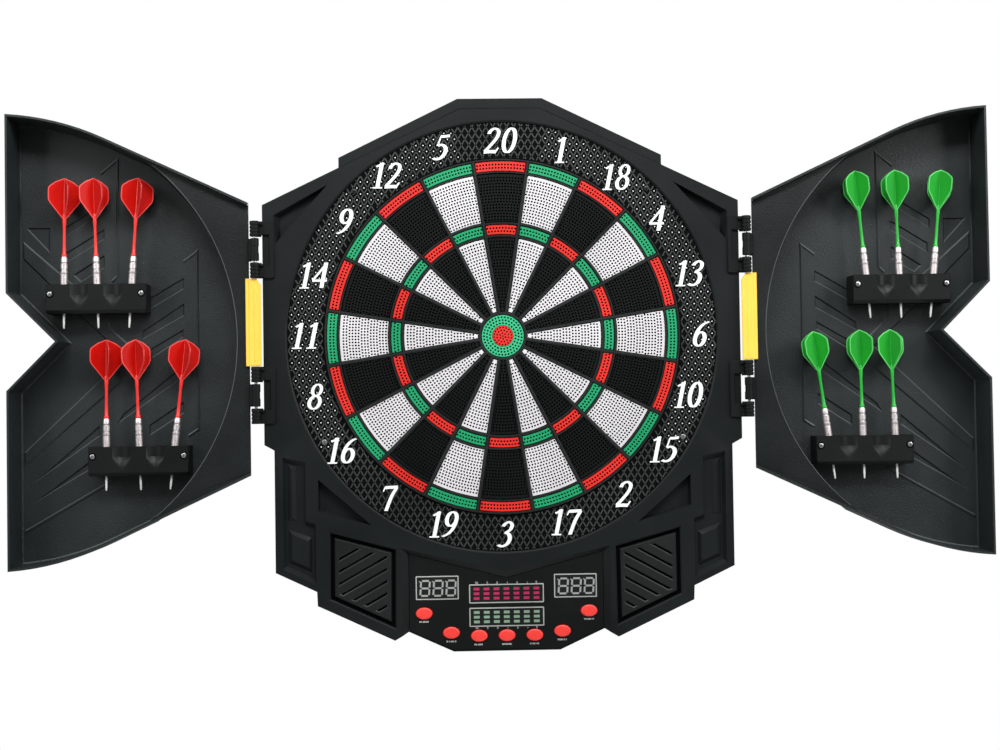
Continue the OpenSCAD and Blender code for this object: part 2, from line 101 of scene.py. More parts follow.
floor_finish, floor_tree, floor_shader = tree_of("pale_floor")
floor_cloud = floor_tree.nodes.new("ShaderNodeTexNoise")
floor_cloud.inputs["Scale"].default_value = 3
floor_ramp = floor_tree.nodes.new("ShaderNodeValToRGB")
floor_ramp.color_ramp.elements[0].color = (0.8, 0.8, 0.79, 1)
floor_ramp.color_ramp.elements[1].color = (0.88, 0.88, 0.87, 1)
joined(floor_tree, floor_cloud.outputs["Fac"], floor_ramp.inputs["Fac"])
joined(floor_tree, floor_ramp.outputs["Color"], floor_shader.inputs["Base Color"])
floor_shader.inputs["Roughness"].default_value = 0.8
bpy.ops.mesh.primitive_circle_add(vertices=96, radius=1.25, fill_type="NGON", location=(0, 0, -1.1))
floor = bpy.context.object
floor.name = "floor"
floor.data.materials.append(floor_finish)

# ---- Front housing
# One black injection moulding of impact polystyrene, with a fine spark-eroded grain. Its raised plateau
# frames the round opening; pockets, a hipped ridge, bosses and bevels are moulded in beside it.

def mm(x, out, z):
    """a point of the object from millimetres and its stand-off from the wall"""
    return (x / 1000, -out / 1000, z / 1000)

def inset(points, distance):
    """a counter-clockwise outline moved inwards; distance is one number, or one for each edge"""
    n = len(points)
    gaps = [distance] * n if isinstance(distance, (int, float)) else distance
    moved = []
    for i in range(n):
        a, b, c = (np.array(points[k % n], float) for k in (i - 1, i, i + 1))
        u, v = (b - a) / np.linalg.norm(b - a), (c - b) / np.linalg.norm(c - b)
        p = b + gaps[i - 1] * np.array((-u[1], u[0]))
        q = b + gaps[i] * np.array((-v[1], v[0]))
        turn = u[0] * v[1] - u[1] * v[0]
        if abs(turn) < 1e-9:
            moved.append(tuple(p))
        else:
            w = q - p
            moved.append(tuple(p + u * (w[0] * v[1] - w[1] * v[0]) / turn))
    return moved

def flipped(points):
    return [(-p[0], *p[1:]) for p in reversed(points)]

def both_sides(half):
    return half + flipped(half)

def circle(radius, count, centre=(0, 0), start=0.0):
    return [(centre[0] + radius * math.cos(start + math.tau * i / count),
             centre[1] + radius * math.sin(start + math.tau * i / count)) for i in range(count)]

def is_inside(point, loop):
    x, z = point
    hit = False
    for (x0, z0), (x1, z1) in zip(loop, loop[1:] + loop[:1]):
        if (z0 > z) != (z1 > z) and x < x0 + (z - z0) * (x1 - x0) / (z1 - z0):
            hit = not hit
    return hit

class Moulding:
    """Faces gathered in millimetres. Each point is x, stand-off and z."""

    def __init__(self):
        self.points, self.faces, self.inks = [], [], []
        self.ink = 0

    def face(self, indices):
        self.faces.append(tuple(indices))
        self.inks.append(self.ink)

    def loop(self, flat, out):
        first = len(self.points)
        for i, p in enumerate(flat):
            self.points.append((p[0], out[i] if isinstance(out, (list, tuple)) else out, p[1]))
        return list(range(first, len(self.points)))

    def wall(self, a, b, closed=True):
        for i in range(len(a) if closed else len(a) - 1):
            j = (i + 1) % len(a)
            self.face((a[i], a[j], b[j], b[i]))

    def walls(self, flat, outs):
        rings = [self.loop(flat, out) for out in outs]
        for a, b in zip(rings, rings[1:]):
            self.wall(a, b)

    def relief(self, contours, outer, holes=()):
        """a skin through contours; each is (flat points, stand-off or stand-offs, closed)"""
        index, flat, outs, edges = {}, [], [], set()
        for points, out, closed in contours:
            chain = []
            for i, p in enumerate(points):
                key = (round(p[0], 3), round(p[1], 3))
                if key not in index:
                    index[key] = len(flat)
                    flat.append((float(p[0]), float(p[1])))
                    outs.append(out[i] if isinstance(out, (list, tuple)) else out)
                chain.append(index[key])
            pairs = zip(chain, chain[1:] + chain[:1]) if closed else zip(chain, chain[1:])
            edges |= {(a, b) for a, b in pairs if a != b}
        made, _, triangles, origin, _, _ = delaunay_2d_cdt(flat, list(edges), [], 0, 1e-5)
        first = len(self.points)
        for p, source in zip(made, origin):
            if source:
                out = outs[source[0]]
            else:
                near = min(range(len(flat)), key=lambda k: (flat[k][0] - p[0]) ** 2 + (flat[k][1] - p[1]) ** 2)
                out = outs[near]
                print("crossing contours at", round(p[0], 2), round(p[1], 2))
            self.points.append((p[0], out, p[1]))
        for triangle in triangles:
            middle = (sum(made[k][0] for k in triangle) / 3, sum(made[k][1] for k in triangle) / 3)
            if is_inside(middle, outer) and not any(is_inside(middle, hole) for hole in holes):
                self.face([first + k for k in triangle])

    def plate(self, outer, holes, near, far, edge=0.3):
        """a flat plate from near to far with bevelled front edges"""
        top = inset(outer, edge)
        grown = [hole_grown(hole, edge) for hole in holes]
        rims = [(outer, far - edge, True), (top, far, True)]
        rims += [(hole, far - edge, True) for hole in holes] + [(hole, far, True) for hole in grown]
        self.relief(rims, outer, holes)
        for loop in [outer, *holes]:
            self.walls(loop, (far - edge, near))
        self.relief([(loop, near, True) for loop in [outer, *holes]], outer, holes)

    def made(self, name, finishes, soft=32, weld=2e-6):
        mesh = bpy.data.meshes.new(name)
        mesh.from_pydata([mm(*p) for p in self.points], [], self.faces)
        for finish in finishes:
            mesh.materials.append(finish)
        mesh.polygons.foreach_set("material_index", self.inks)
        shape = bmesh.new()
        shape.from_mesh(mesh)
        bmesh.ops.remove_doubles(shape, verts=shape.verts, dist=weld)
        bmesh.ops.dissolve_degenerate(shape, edges=shape.edges, dist=1e-7)
        bmesh.ops.recalc_face_normals(shape, faces=shape.faces)
        shape.to_mesh(mesh)
        shape.free()
        mesh.shade_smooth()
        mesh.set_sharp_from_angle(angle=math.radians(soft))
        piece = bpy.data.objects.new(name, mesh)
        scene.collection.objects.link(piece)
        return piece

def hole_grown(hole, edge):
    """a counter-clockwise hole made larger all round"""
    return inset(hole, -edge)

def settle(piece, body, slot, *nodes):
    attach(piece, body)
    if nodes:
        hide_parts(*nodes)
    return piece

def other_hand(piece, name):
    """the mirror image of a left-hand piece, for the right"""
    mesh = piece.data.copy()
    mesh.name = name
    shape = bmesh.new()
    shape.from_mesh(mesh)
    for point in shape.verts:
        point.co.x = -point.co.x
    bmesh.ops.reverse_faces(shape, faces=shape.faces)
    shape.to_mesh(mesh)
    shape.free()
    twin = bpy.data.objects.new(name, mesh)
    scene.collection.objects.link(twin)
    return twin

def new_group(name, inputs, outputs):
    group = bpy.data.node_groups.new(name, "ShaderNodeTree")
    for label, kind, value in inputs:
        socket = group.interface.new_socket(name=label, in_out="INPUT", socket_type=kind)
        socket.default_value = value
    for label, kind in outputs:
        group.interface.new_socket(name=label, in_out="OUTPUT", socket_type=kind)
    return group, group.nodes.new("NodeGroupInput"), group.nodes.new("NodeGroupOutput")

def node(tree, kind, values=None, **settings):
    made = tree.nodes.new(kind)
    for key, value in settings.items():
        setattr(made, key, value)
    for key, value in (values or {}).items():
        made.inputs[key].default_value = value
    return made

def wire(tree, links):
    for source, target in links:
        joined(tree, source, target)

# the grain of a mould: fine pebbles in the surface, with slow patches in tone and gloss, and painted glints on the
# pebble tops
grain, g_in, g_out = new_group("moulded_grain", [
    ("Colour", "NodeSocketColor", (0.02, 0.02, 0.02, 1)), ("Patch", "NodeSocketFloat", 0.15),
    ("Pebble Scale", "NodeSocketFloat", 1200.0), ("Pebble Depth", "NodeSocketFloat", 0.1),
    ("Roughness", "NodeSocketFloat", 0.5), ("Painted Glint", "NodeSocketFloat", 0.0)], [
    ("Colour", "NodeSocketColor"), ("Roughness", "NodeSocketFloat"), ("Normal", "NodeSocketVector")])
g_place = node(grain, "ShaderNodeTexCoord")
g_pebble = node(grain, "ShaderNodeTexNoise", {"Detail": 2.0, "Roughness": 0.6})
g_patch = node(grain, "ShaderNodeTexNoise", {"Scale": 14.0, "Detail": 3.0, "Roughness": 0.55})
g_bump = node(grain, "ShaderNodeBump", {"Distance": 0.0004})
g_dark = node(grain, "ShaderNodeMapRange", {"From Min": 0.3, "From Max": 0.7, "To Min": -1.0, "To Max": 1.0})
g_amount = node(grain, "ShaderNodeMath", operation="MULTIPLY")
g_gain = node(grain, "ShaderNodeMath", {1: 1.0}, operation="ADD")
g_tint = node(grain, "ShaderNodeVectorMath", operation="SCALE")
# the tops of the pebbles, where painted glints are added to the colour
g_glint_peaks = node(grain, "ShaderNodeMapRange", {"From Min": 0.62, "From Max": 0.75})
g_painted_glint = node(grain, "ShaderNodeMath", operation="MULTIPLY")
g_lift = node(grain, "ShaderNodeVectorMath", operation="ADD")
g_rough = node(grain, "ShaderNodeMath", {1: 0.06, 2: 0.0}, operation="MULTIPLY_ADD")
wire(grain, [
    (g_place.outputs["Object"], g_pebble.inputs["Vector"]), (g_in.outputs["Pebble Scale"], g_pebble.inputs["Scale"]),
    (g_place.outputs["Object"], g_patch.inputs["Vector"]), (g_pebble.outputs["Fac"], g_bump.inputs["Height"]),
    (g_in.outputs["Pebble Depth"], g_bump.inputs["Strength"]), (g_patch.outputs["Fac"], g_dark.inputs["Value"]),
    (g_dark.outputs[0], g_amount.inputs[0]), (g_in.outputs["Patch"], g_amount.inputs[1]),
    (g_amount.outputs[0], g_gain.inputs[0]), (g_in.outputs["Colour"], g_tint.inputs[0]),
    (g_gain.outputs[0], g_tint.inputs["Scale"]), (g_pebble.outputs["Fac"], g_glint_peaks.inputs["Value"]),
    (g_glint_peaks.outputs[0], g_painted_glint.inputs[0]), (g_in.outputs["Painted Glint"], g_painted_glint.inputs[1]),
    (g_tint.outputs[0], g_lift.inputs[0]), (g_painted_glint.outputs[0], g_lift.inputs[1]),
    (g_lift.outputs[0], g_out.inputs["Colour"]), (g_dark.outputs[0], g_rough.inputs[0]),
    (g_in.outputs["Roughness"], g_rough.inputs[2]), (g_rough.outputs[0], g_out.inputs["Roughness"]),
    (g_bump.outputs["Normal"], g_out.inputs["Normal"])])

def moulded(name, colour, roughness, pebble=1200.0, depth=0.1, patch=0.15, painted_glint=0.0, specular=0.3, coat=0.0):
    """a moulded plastic with its grain"""
    finish, tree, shader = tree_of(name)
    face = node(tree, "ShaderNodeGroup", {
        "Colour": (*colour, 1), "Patch": patch, "Pebble Scale": pebble, "Pebble Depth": depth,
        "Roughness": roughness, "Painted Glint": painted_glint}, node_tree=grain)
    joined(tree, face.outputs["Colour"], shader.inputs["Base Color"])
    joined(tree, face.outputs["Roughness"], shader.inputs["Roughness"])
    joined(tree, face.outputs["Normal"], shader.inputs["Normal"])
    shader.inputs["Specular IOR Level"].default_value = specular
    shader.inputs["Coat Weight"].default_value = coat
    shader.inputs["Coat Roughness"].default_value = 0.12
    return finish

housing_plastic = moulded("housing_plastic", (0.0062, 0.0081, 0.0084), 0.47, pebble=1500, depth=0.22, patch=0.14,
                           specular=0.21)

plateau, border, edge_drop = 38.0, 35.6, 0.6
opening_lip, grille_lip = plateau - 1.3, plateau - 1.2
console_floor, ledge_front, ledge_back = 33.4, 34.4, 31.4
bowl_sides = 144
half_rim = [
    (50, -295.5, console_floor), (92, -276.3, console_floor), (98, -279.8, plateau),
    (104.8, -283.7, plateau),
    (176.5, -250.2, plateau), (177, -237, plateau), (215.5, -219, 36.0), (215.5, -104.5, 36.0),
    (224.5, -99.3, plateau), (224.5, 126, plateau), (152.5, 160.4, plateau), (152.5, 161.8, border),
    (152.5, 170.2, border), (40, 225, border)]
rim = both_sides(half_rim)
rim_flat = [(p[0], p[1]) for p in rim]
rim_top = [p[2] for p in rim]
rim_edge = [p[2] - edge_drop for p in rim]
opening_r, ledge_r = 202.5, 187
opening = circle(opening_r, bowl_sides)
console_hole = both_sides([(50, -294.4), (91.6, -275.5), (91.6, -202.75)])
console_hole.insert(3, (0, -226.8))
grille_hole = [(-164, -182.3), (-164.3, -244), (-104.3, -272), (-103.4, -199)]
grille_holes = [grille_hole, flipped(grille_hole)]
shoulder = [(-213.9, 116.2), (-212, 89.8), (-162.9, 144.5)]
shoulder_floor = [(-209.2, 114.6), (-207.8, 95.4), (-165.9, 142.0)]
hip = [(-175, -132), (-175, -161.5), (-125, -176)]
side_mouth = [(-208, -111), (-208, -215.8), (-177.6, -230.0), (-177.6, -173.6), (-186.8, -170.6), (-186.8, -115.6)]
side_floor = [(-205.2, -116.2), (-205.2, -212.6), (-178.6, -225.2), (-178.6, -177.2), (-187.6, -174.2),
              (-187.6, -120.4)]
ridge_foot = [(-203.6, -117.6), (-203.6, -170.6), (-195.4, -170.6), (-195.4, -120.2)]
ridge_crest = [(-199.5, -122.2), (-199.5, -166.8)]
boss_foot = [(-203.2, -178.6), (-203.2, -209.6), (-181.6, -219.0), (-181.6, -186.4)]
boss_top = [(-199.4, -183.2), (-199.4, -207.4), (-184.8, -213.8), (-184.8, -189.4)]
pocket_out, side_out, raised_out, back_out = 30.2, 33.4, 36.4, 26.0

contours = [
    (rim_flat, rim_edge, True), (inset(rim_flat, 0.5), rim_top, True),
    ([(151.6, 161.6), (37.9, 216.1), (-37.9, 216.1), (-151.6, 161.6)], border, False),
    ([(151.5, 160.0), (37.6, 214.6), (-37.6, 214.6), (-151.5, 160.0)], plateau, False),
    (circle(opening_r + 1.6, bowl_sides), plateau, True), (opening, opening_lip, True),
    ([(98, -278.6), (98, -198), (0, -220.4), (-98, -198), (-98, -278.6)], plateau, False),
    (console_hole, console_floor, True)]
for hand in (lambda points: points, flipped):
    contours += [
        (hand(grille_hole), grille_lip, True), (hole_grown(hand(grille_hole), 1.3), plateau, True),
        (hand(shoulder), plateau, True), (hand(shoulder_floor), pocket_out, True),
        (hand(hip), plateau, True), (inset(hand(hip), 1.4), pocket_out, True),
        (hand(side_mouth), plateau, True), (hand(side_floor), side_out, True),
        (hand(ridge_foot), side_out, True), (hand(ridge_crest), raised_out, False),
        (hand(boss_foot), side_out, True), (hand(boss_top), raised_out, True)]
housing = Moulding()
housing.relief(contours, rim_flat, [opening, console_hole, *grille_holes])
bowl = circle(opening_r + 3, bowl_sides)
rings = [housing.loop(flat, out) for flat, out in (
    (opening, opening_lip), (opening, ledge_front), (circle(ledge_r, bowl_sides), ledge_front),
    (circle(ledge_r, bowl_sides), ledge_back), (bowl, ledge_back), (bowl, back_out))]
for a, b in zip(rings, rings[1:]):
    housing.wall(a, b)
housing.walls(console_hole, (console_floor, back_out))
for hole in grille_holes:
    housing.walls(hole, (grille_lip, back_out))
shell_in = inset(rim_flat, 3)
sides = [housing.loop(flat, out) for flat, out in (
    (rim_flat, rim_edge), (rim_flat, 0.6), (inset(rim_flat, 0.6), 0.0), (inset(rim_flat, 2.6), 0.0), (shell_in, 0.4),
    (shell_in, back_out))]
for a, b in zip(sides, sides[1:]):
    housing.wall(a, b)
housing.relief([(loop, back_out, True) for loop in (shell_in, bowl, console_hole, *grille_holes)],
               shell_in, [bowl, console_hole, *grille_holes])
settle(housing.made("front_housing_shell", [housing_plastic]), "cabinet", "housing_plastic", "front_housing")

# ---- Back cover and what lies behind the board
# A flat moulded cover with two keyholes is screwed on behind. Under the playing face lie a pressed wood
# fibre board, a printed switch film, a black rubber sheet, a circuit board and a small round speaker.

def refinish(finish, *names):
    for name in names:
        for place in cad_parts[name].material_slots:
            place.material = finish

refinish(moulded("back_plastic", (0.013, 0.0145, 0.015), 0.62, pebble=900, depth=0.35, patch=0.2), "back_cover")
refinish(moulded("mat_rubber", (0.012, 0.012, 0.012), 0.8, pebble=2200, depth=0.3, patch=0.25), "rubber_sheet")

fibre_board, fibre_tree, fibre_shader = tree_of("fibre_board")
fibre_place = node(fibre_tree, "ShaderNodeTexCoord")
fibre_strand = node(fibre_tree, "ShaderNodeTexNoise", {"Scale": 240.0, "Detail": 8.0, "Distortion": 2.5})
fibre_ramp = node(fibre_tree, "ShaderNodeValToRGB")
fibre_ramp.color_ramp.elements[0].color = (0.09, 0.045, 0.02, 1)
fibre_ramp.color_ramp.elements[1].color = (0.3, 0.18, 0.09, 1)
fibre_bump = node(fibre_tree, "ShaderNodeBump", {"Strength": 0.3, "Distance": 0.0004})
wire(fibre_tree, [
    (fibre_place.outputs["Object"], fibre_strand.inputs["Vector"]),
    (fibre_strand.outputs["Fac"], fibre_ramp.inputs["Fac"]),
    (fibre_ramp.outputs["Color"], fibre_shader.inputs["Base Color"]),
    (fibre_strand.outputs["Fac"], fibre_bump.inputs["Height"]),
    (fibre_bump.outputs["Normal"], fibre_shader.inputs["Normal"])])
fibre_shader.inputs["Roughness"].default_value = 0.75
refinish(fibre_board, "backing_board")

def printed_lines(name, ground, line, scale, roughness):
    """a sheet or board printed with fine conductor lines"""
    finish, tree, shader = tree_of(name)
    place = node(tree, "ShaderNodeTexCoord")
    turn = node(tree, "ShaderNodeMapping", {"Rotation": (math.pi / 2, 0, 0), "Scale": (scale, scale, scale)})
    track = node(tree, "ShaderNodeTexBrick", {"Color1": ground, "Color2": ground, "Mortar": line,
                                              "Scale": 1.0, "Mortar Size": 0.05}, offset=0.5)
    wire(tree, [
        (place.outputs["Object"], turn.inputs["Vector"]), (turn.outputs["Vector"], track.inputs["Vector"]),
        (track.outputs["Color"], shader.inputs["Base Color"])])
    shader.inputs["Roughness"].default_value = roughness
    return finish

refinish(printed_lines("switch_film", (0.55, 0.56, 0.52, 1), (0.25, 0.26, 0.27, 1), 120, 0.35), "switch_sheet")
refinish(printed_lines("circuit_board", (0.006, 0.09, 0.035, 1), (0.02, 0.17, 0.07, 1), 260, 0.3), "control_board")

def metal(name, colour, roughness, streak=400.0, wear=0.12):
    """plated or turned metal with fine streaks and dulled patches"""
    finish, tree, shader = tree_of(name)
    place = node(tree, "ShaderNodeTexCoord")
    stretch = node(tree, "ShaderNodeMapping", {"Scale": (streak, streak, streak * 0.15)})
    line = node(tree, "ShaderNodeTexNoise", {"Scale": 1.0, "Detail": 3.0})
    dull = node(tree, "ShaderNodeMapRange", {"To Min": roughness - wear / 2, "To Max": roughness + wear})
    tone = node(tree, "ShaderNodeValToRGB")
    tone.color_ramp.elements[0].color = (*(0.82 * c for c in colour), 1)
    tone.color_ramp.elements[0].position = 0.3
    tone.color_ramp.elements[1].color = (*colour, 1)
    tone.color_ramp.elements[1].position = 0.65
    bump = node(tree, "ShaderNodeBump", {"Strength": 0.08, "Distance": 0.0002})
    wire(tree, [
        (place.outputs["Object"], stretch.inputs["Vector"]), (stretch.outputs["Vector"], line.inputs["Vector"]),
        (line.outputs["Fac"], dull.inputs["Value"]), (dull.outputs[0], shader.inputs["Roughness"]),
        (line.outputs["Fac"], tone.inputs["Fac"]), (tone.outputs["Color"], shader.inputs["Base Color"]),
        (line.outputs["Fac"], bump.inputs["Height"]), (bump.outputs["Normal"], shader.inputs["Normal"])])
    shader.inputs["Metallic"].default_value = 1
    return finish

refinish(metal("speaker_steel", (0.03, 0.03, 0.031), 0.5), "speaker")

# ---- Catch ring
# A matt black ring round the playing face, moulded with a net of fine ribs that catches stray darts. White figures
# are printed on it in playing order. White discs on its two sides stand for small sound holes: painted light showing
# through them.

ring_plastic = moulded("ring_plastic", (0.0014, 0.0018, 0.0017), 0.75, pebble=2600, depth=0.2, patch=0.2,
                       specular=0.06)
# the ribs are the ring's own black plastic; their grey colour paints the highlights along them
rib_painted_highlight = moulded("rib_painted_highlight", (0.042, 0.046, 0.043), 0.42, pebble=2600, depth=0.1, patch=0.25)
figure_ink = moulded("figure_ink", (0.86, 0.87, 0.86), 0.5, pebble=2600, depth=0.06, patch=0.03)
ring_in, ring_out, ring_floor, ring_front = 167.75, 201.9, 35.9, 36.9

def across(u, v, w):
    """an axis square to the wall"""
    return (u, w, v)

def upright_at(x, out):
    return lambda u, v, w: (x + u, out + v, w)

def lathe(shape, profile, count, place=across, capped=False):
    """profile holds radius and distance along the axis; open profiles are capped"""
    loops = []
    for radius, along in profile:
        first = len(shape.points)
        shape.points += [place(u, v, along) for u, v in circle(radius, count)]
        loops.append(list(range(first, first + count)))
    for a, b in zip(loops, loops[1:] + ([] if capped else loops[:1])):
        shape.wall(a, b)
    if capped:
        shape.face(loops[0])
        shape.face(loops[-1])

ring = Moulding()
lathe(ring, [(ring_in, ledge_front), (ring_in, 36.5), (168.2, 36.9), (168.9, 36.9), (169.1, ring_floor),
             (ring_out - 0.4, ring_floor), (ring_out, ring_floor - 0.4), (ring_out, ledge_front)], 160)
settle(ring.made("catch_ring_base", [ring_plastic]), "cabinet", "ring_plastic", "catch_ring")

def tree_for(name, inputs):
    """an empty geometry tree with named inputs"""
    tree = bpy.data.node_groups.new(name, "GeometryNodeTree")
    tree.is_modifier = True
    tree.interface.new_socket(name="Geometry", in_out="INPUT", socket_type="NodeSocketGeometry")
    for label, kind in inputs:
        tree.interface.new_socket(name=label, in_out="INPUT", socket_type=kind)
    tree.interface.new_socket(name="Geometry", in_out="OUTPUT", socket_type="NodeSocketGeometry")
    return tree, tree.nodes.new("NodeGroupInput"), tree.nodes.new("NodeGroupOutput")

def grown(name, seed, tree, values, soft=32):
    """the plain mesh that a geometry tree makes from a seed mesh"""
    holder = bpy.data.objects.new(name + "_seed", seed)
    scene.collection.objects.link(holder)
    modifier = holder.modifiers.new("grow", "NODES")
    modifier.node_group = tree
    for item in tree.interface.items_tree:
        if item.in_out == "INPUT" and item.name in values:
            modifier[item.identifier] = values[item.name]
    bpy.context.view_layer.update()
    mesh = bpy.data.meshes.new_from_object(holder.evaluated_get(bpy.context.evaluated_depsgraph_get()))
    holder.modifiers.remove(modifier)
    bpy.data.objects.remove(holder)
    mesh.name = name
    mesh.set_sharp_from_angle(angle=math.radians(soft))
    piece = bpy.data.objects.new(name, mesh)
    scene.collection.objects.link(piece)
    return piece

net, net_in, net_out = tree_for("rib_net", [("Width", "NodeSocketFloat"), ("Height", "NodeSocketFloat"),
                                            ("Finish", "NodeSocketMaterial")])
net_path = net.nodes.new("GeometryNodeMeshToCurve")
net_profile = net.nodes.new("GeometryNodeCurvePrimitiveQuadrilateral")
net_sweep = node(net, "GeometryNodeCurveToMesh", {"Fill Caps": True})
net_real = net.nodes.new("GeometryNodeRealizeInstances")
net_finish = net.nodes.new("GeometryNodeSetMaterial")
wire(net, [
    (net_in.outputs["Geometry"], net_path.inputs["Mesh"]), (net_in.outputs["Width"], net_profile.inputs["Width"]),
    (net_in.outputs["Height"], net_profile.inputs["Height"]), (net_path.outputs["Curve"], net_sweep.inputs["Curve"]),
    (net_profile.outputs["Curve"], net_sweep.inputs["Profile Curve"]),
    (net_sweep.outputs["Mesh"], net_real.inputs["Geometry"]),
    (net_real.outputs["Geometry"], net_finish.inputs["Geometry"]),
    (net_in.outputs["Finish"], net_finish.inputs["Material"]),
    (net_finish.outputs["Geometry"], net_out.inputs["Geometry"])])

mesh_w, mesh_h, rib_w = 6.6, 11.3, 0.44
rib_span = (168.9, 201.5)
slope = math.hypot(mesh_w, mesh_h)
rib_points, rib_edges = [], []
for lean in (-1, 1):
    along = (lean * mesh_w / slope, mesh_h / slope)
    for k in range(-50, 51):
        start = mesh_w * (k + 0.5)
        away = start * along[1]
        foot = (away * along[1], -away * along[0])
        if abs(away) >= rib_span[1] - 1:
            continue
        reach = math.sqrt(rib_span[1] ** 2 - away ** 2)
        clear = math.sqrt(max(rib_span[0] ** 2 - away ** 2, 0))
        for a, b in ([(clear, reach), (-reach, -clear)] if clear > 0.5 else [(-reach, reach)]):
            rib_edges.append((len(rib_points), len(rib_points) + 1))
            rib_points += [mm(foot[0] + t * along[0], (ring_floor + ring_front) / 2 - 0.1, foot[1] + t * along[1])
                           for t in (a, b)]
rib_lines = bpy.data.meshes.new("rib_lines")
rib_lines.from_pydata(rib_points, rib_edges, [])
settle(grown("catch_ring_net", rib_lines, net, {"Width": rib_w / 1000, "Height": 0.00115, "Finish": rib_painted_highlight}),
       "cabinet", "ring_plastic", "catch_ring")

studs, st_in, st_out = tree_for("studs", [("Radius", "NodeSocketFloat"), ("Depth", "NodeSocketFloat"),
                                          ("Sides", "NodeSocketInt"), ("Finish", "NodeSocketMaterial")])
st_shape = studs.nodes.new("GeometryNodeMeshCylinder")
st_turn = node(studs, "GeometryNodeTransform", {"Rotation": (math.pi / 2, 0, 0)})
st_place = studs.nodes.new("GeometryNodeInstanceOnPoints")
st_real = studs.nodes.new("GeometryNodeRealizeInstances")
st_finish = studs.nodes.new("GeometryNodeSetMaterial")
wire(studs, [
    (st_in.outputs["Radius"], st_shape.inputs["Radius"]), (st_in.outputs["Depth"], st_shape.inputs["Depth"]),
    (st_in.outputs["Sides"], st_shape.inputs["Vertices"]), (st_shape.outputs["Mesh"], st_turn.inputs["Geometry"]),
    (st_in.outputs["Geometry"], st_place.inputs["Points"]),
    (st_turn.outputs["Geometry"], st_place.inputs["Instance"]),
    (st_place.outputs["Instances"], st_real.inputs["Geometry"]),
    (st_real.outputs["Geometry"], st_finish.inputs["Geometry"]),
    (st_in.outputs["Finish"], st_finish.inputs["Material"]),
    (st_finish.outputs["Geometry"], st_out.inputs["Geometry"])])

# the sound holes are white discs in the figure ink: painted light showing through the holes
hole_points = []
for row in range(-36, 37):
    for column in range(-31, 32):
        x, z = mesh_w * (column + (row % 2) / 2), mesh_h / 2 * row
        angle = abs(math.degrees(math.atan2(x, z)))
        if 172 < math.hypot(x, z) < 199.5 and 12.5 < angle < 122:
            hole_points.append(mm(x, ring_floor + 0.1, z))
hole_cloud = bpy.data.meshes.new("hole_cloud")
hole_cloud.from_pydata(hole_points, [], [])
settle(grown("catch_ring_sound_holes", hole_cloud, studs,
             {"Radius": 0.00056, "Depth": 0.0008, "Sides": 12, "Finish": figure_ink}),
       "cabinet", "ring_plastic", "catch_ring")

def smooth_path(points, steps=6, closed=False):
    """a curve through the points"""
    n = len(points)
    path = []
    for i in range(n if closed else n - 1):
        a, b, c, d = (np.array(points[k % n] if closed else points[min(max(k, 0), n - 1)], float)
                      for k in (i - 1, i, i + 1, i + 2))
        for t in np.arange(steps) / steps:
            path.append(0.5 * (2 * b + (c - a) * t + (2 * a - 5 * b + 4 * c - d) * t ** 2
                               + (3 * b - a - 3 * c + d) * t ** 3))
    if not closed:
        path.append(np.array(points[-1], float))
    return path

def nib_stroke(path, wide, thin, closed=False):
    """the loops that a broad pen leaves along a path; wide is across it, thin is up and down"""
    left, right = [], []
    n = len(path)
    for i, p in enumerate(path):
        ahead = path[(i + 1) % n] if closed or i < n - 1 else p
        behind = path[i - 1] if closed or i else p
        go = ahead - behind
        side = np.array((-go[1], go[0])) / np.hypot(*go)
        push = np.array((wide ** 2 * side[0], thin ** 2 * side[1])) / math.hypot(wide * side[0], thin * side[1])
        left.append(p + push)
        right.append(p - push)
    if closed:
        return [left, right]
    return [left + right[::-1]]

def stamp(shape, figures, near, far):
    """figures, each a list of loops, joined into one raised shape"""
    flat, edges = [], []
    for loops in figures:
        for loop in loops:
            first = len(flat)
            flat += [(float(p[0]), float(p[1])) for p in loop]
            edges += [(first + i, first + (i + 1) % len(loop)) for i in range(len(loop))]
    made, _, triangles, _, _, _ = delaunay_2d_cdt(flat, edges, [], 0, 1e-4)
    kept = []
    for triangle in triangles:
        middle = (sum(made[k][0] for k in triangle) / 3, sum(made[k][1] for k in triangle) / 3)
        if any(sum(is_inside(middle, [tuple(p) for p in loop]) for loop in loops) % 2 for loops in figures):
            kept.append(triangle)
    first, count = len(shape.points), len(made)
    shape.points += [(p[0], far, p[1]) for p in made] + [(p[0], near, p[1]) for p in made]
    used = {}
    for triangle in kept:
        shape.face([first + k for k in triangle])
        shape.face([first + count + k for k in reversed(triangle)])
        for a, b in zip(triangle, list(triangle[1:]) + [triangle[0]]):
            used[(a, b)] = True
    for a, b in used:
        if (b, a) not in used:
            shape.face((first + a, first + b, first + count + b, first + count + a))

pen, hair = 0.076, 0.029
def line(points, wide=pen, thin=hair):
    return nib_stroke([np.array(p, float) for p in points], wide, thin)

def sweep(points, wide=pen, thin=hair, closed=False):
    return nib_stroke(smooth_path(points, closed=closed), wide, thin, closed)

def round_path(x, y, a, b, count=10):
    return [(x + a * math.cos(math.tau * i / count), y + b * math.sin(math.tau * i / count)) for i in range(count)]

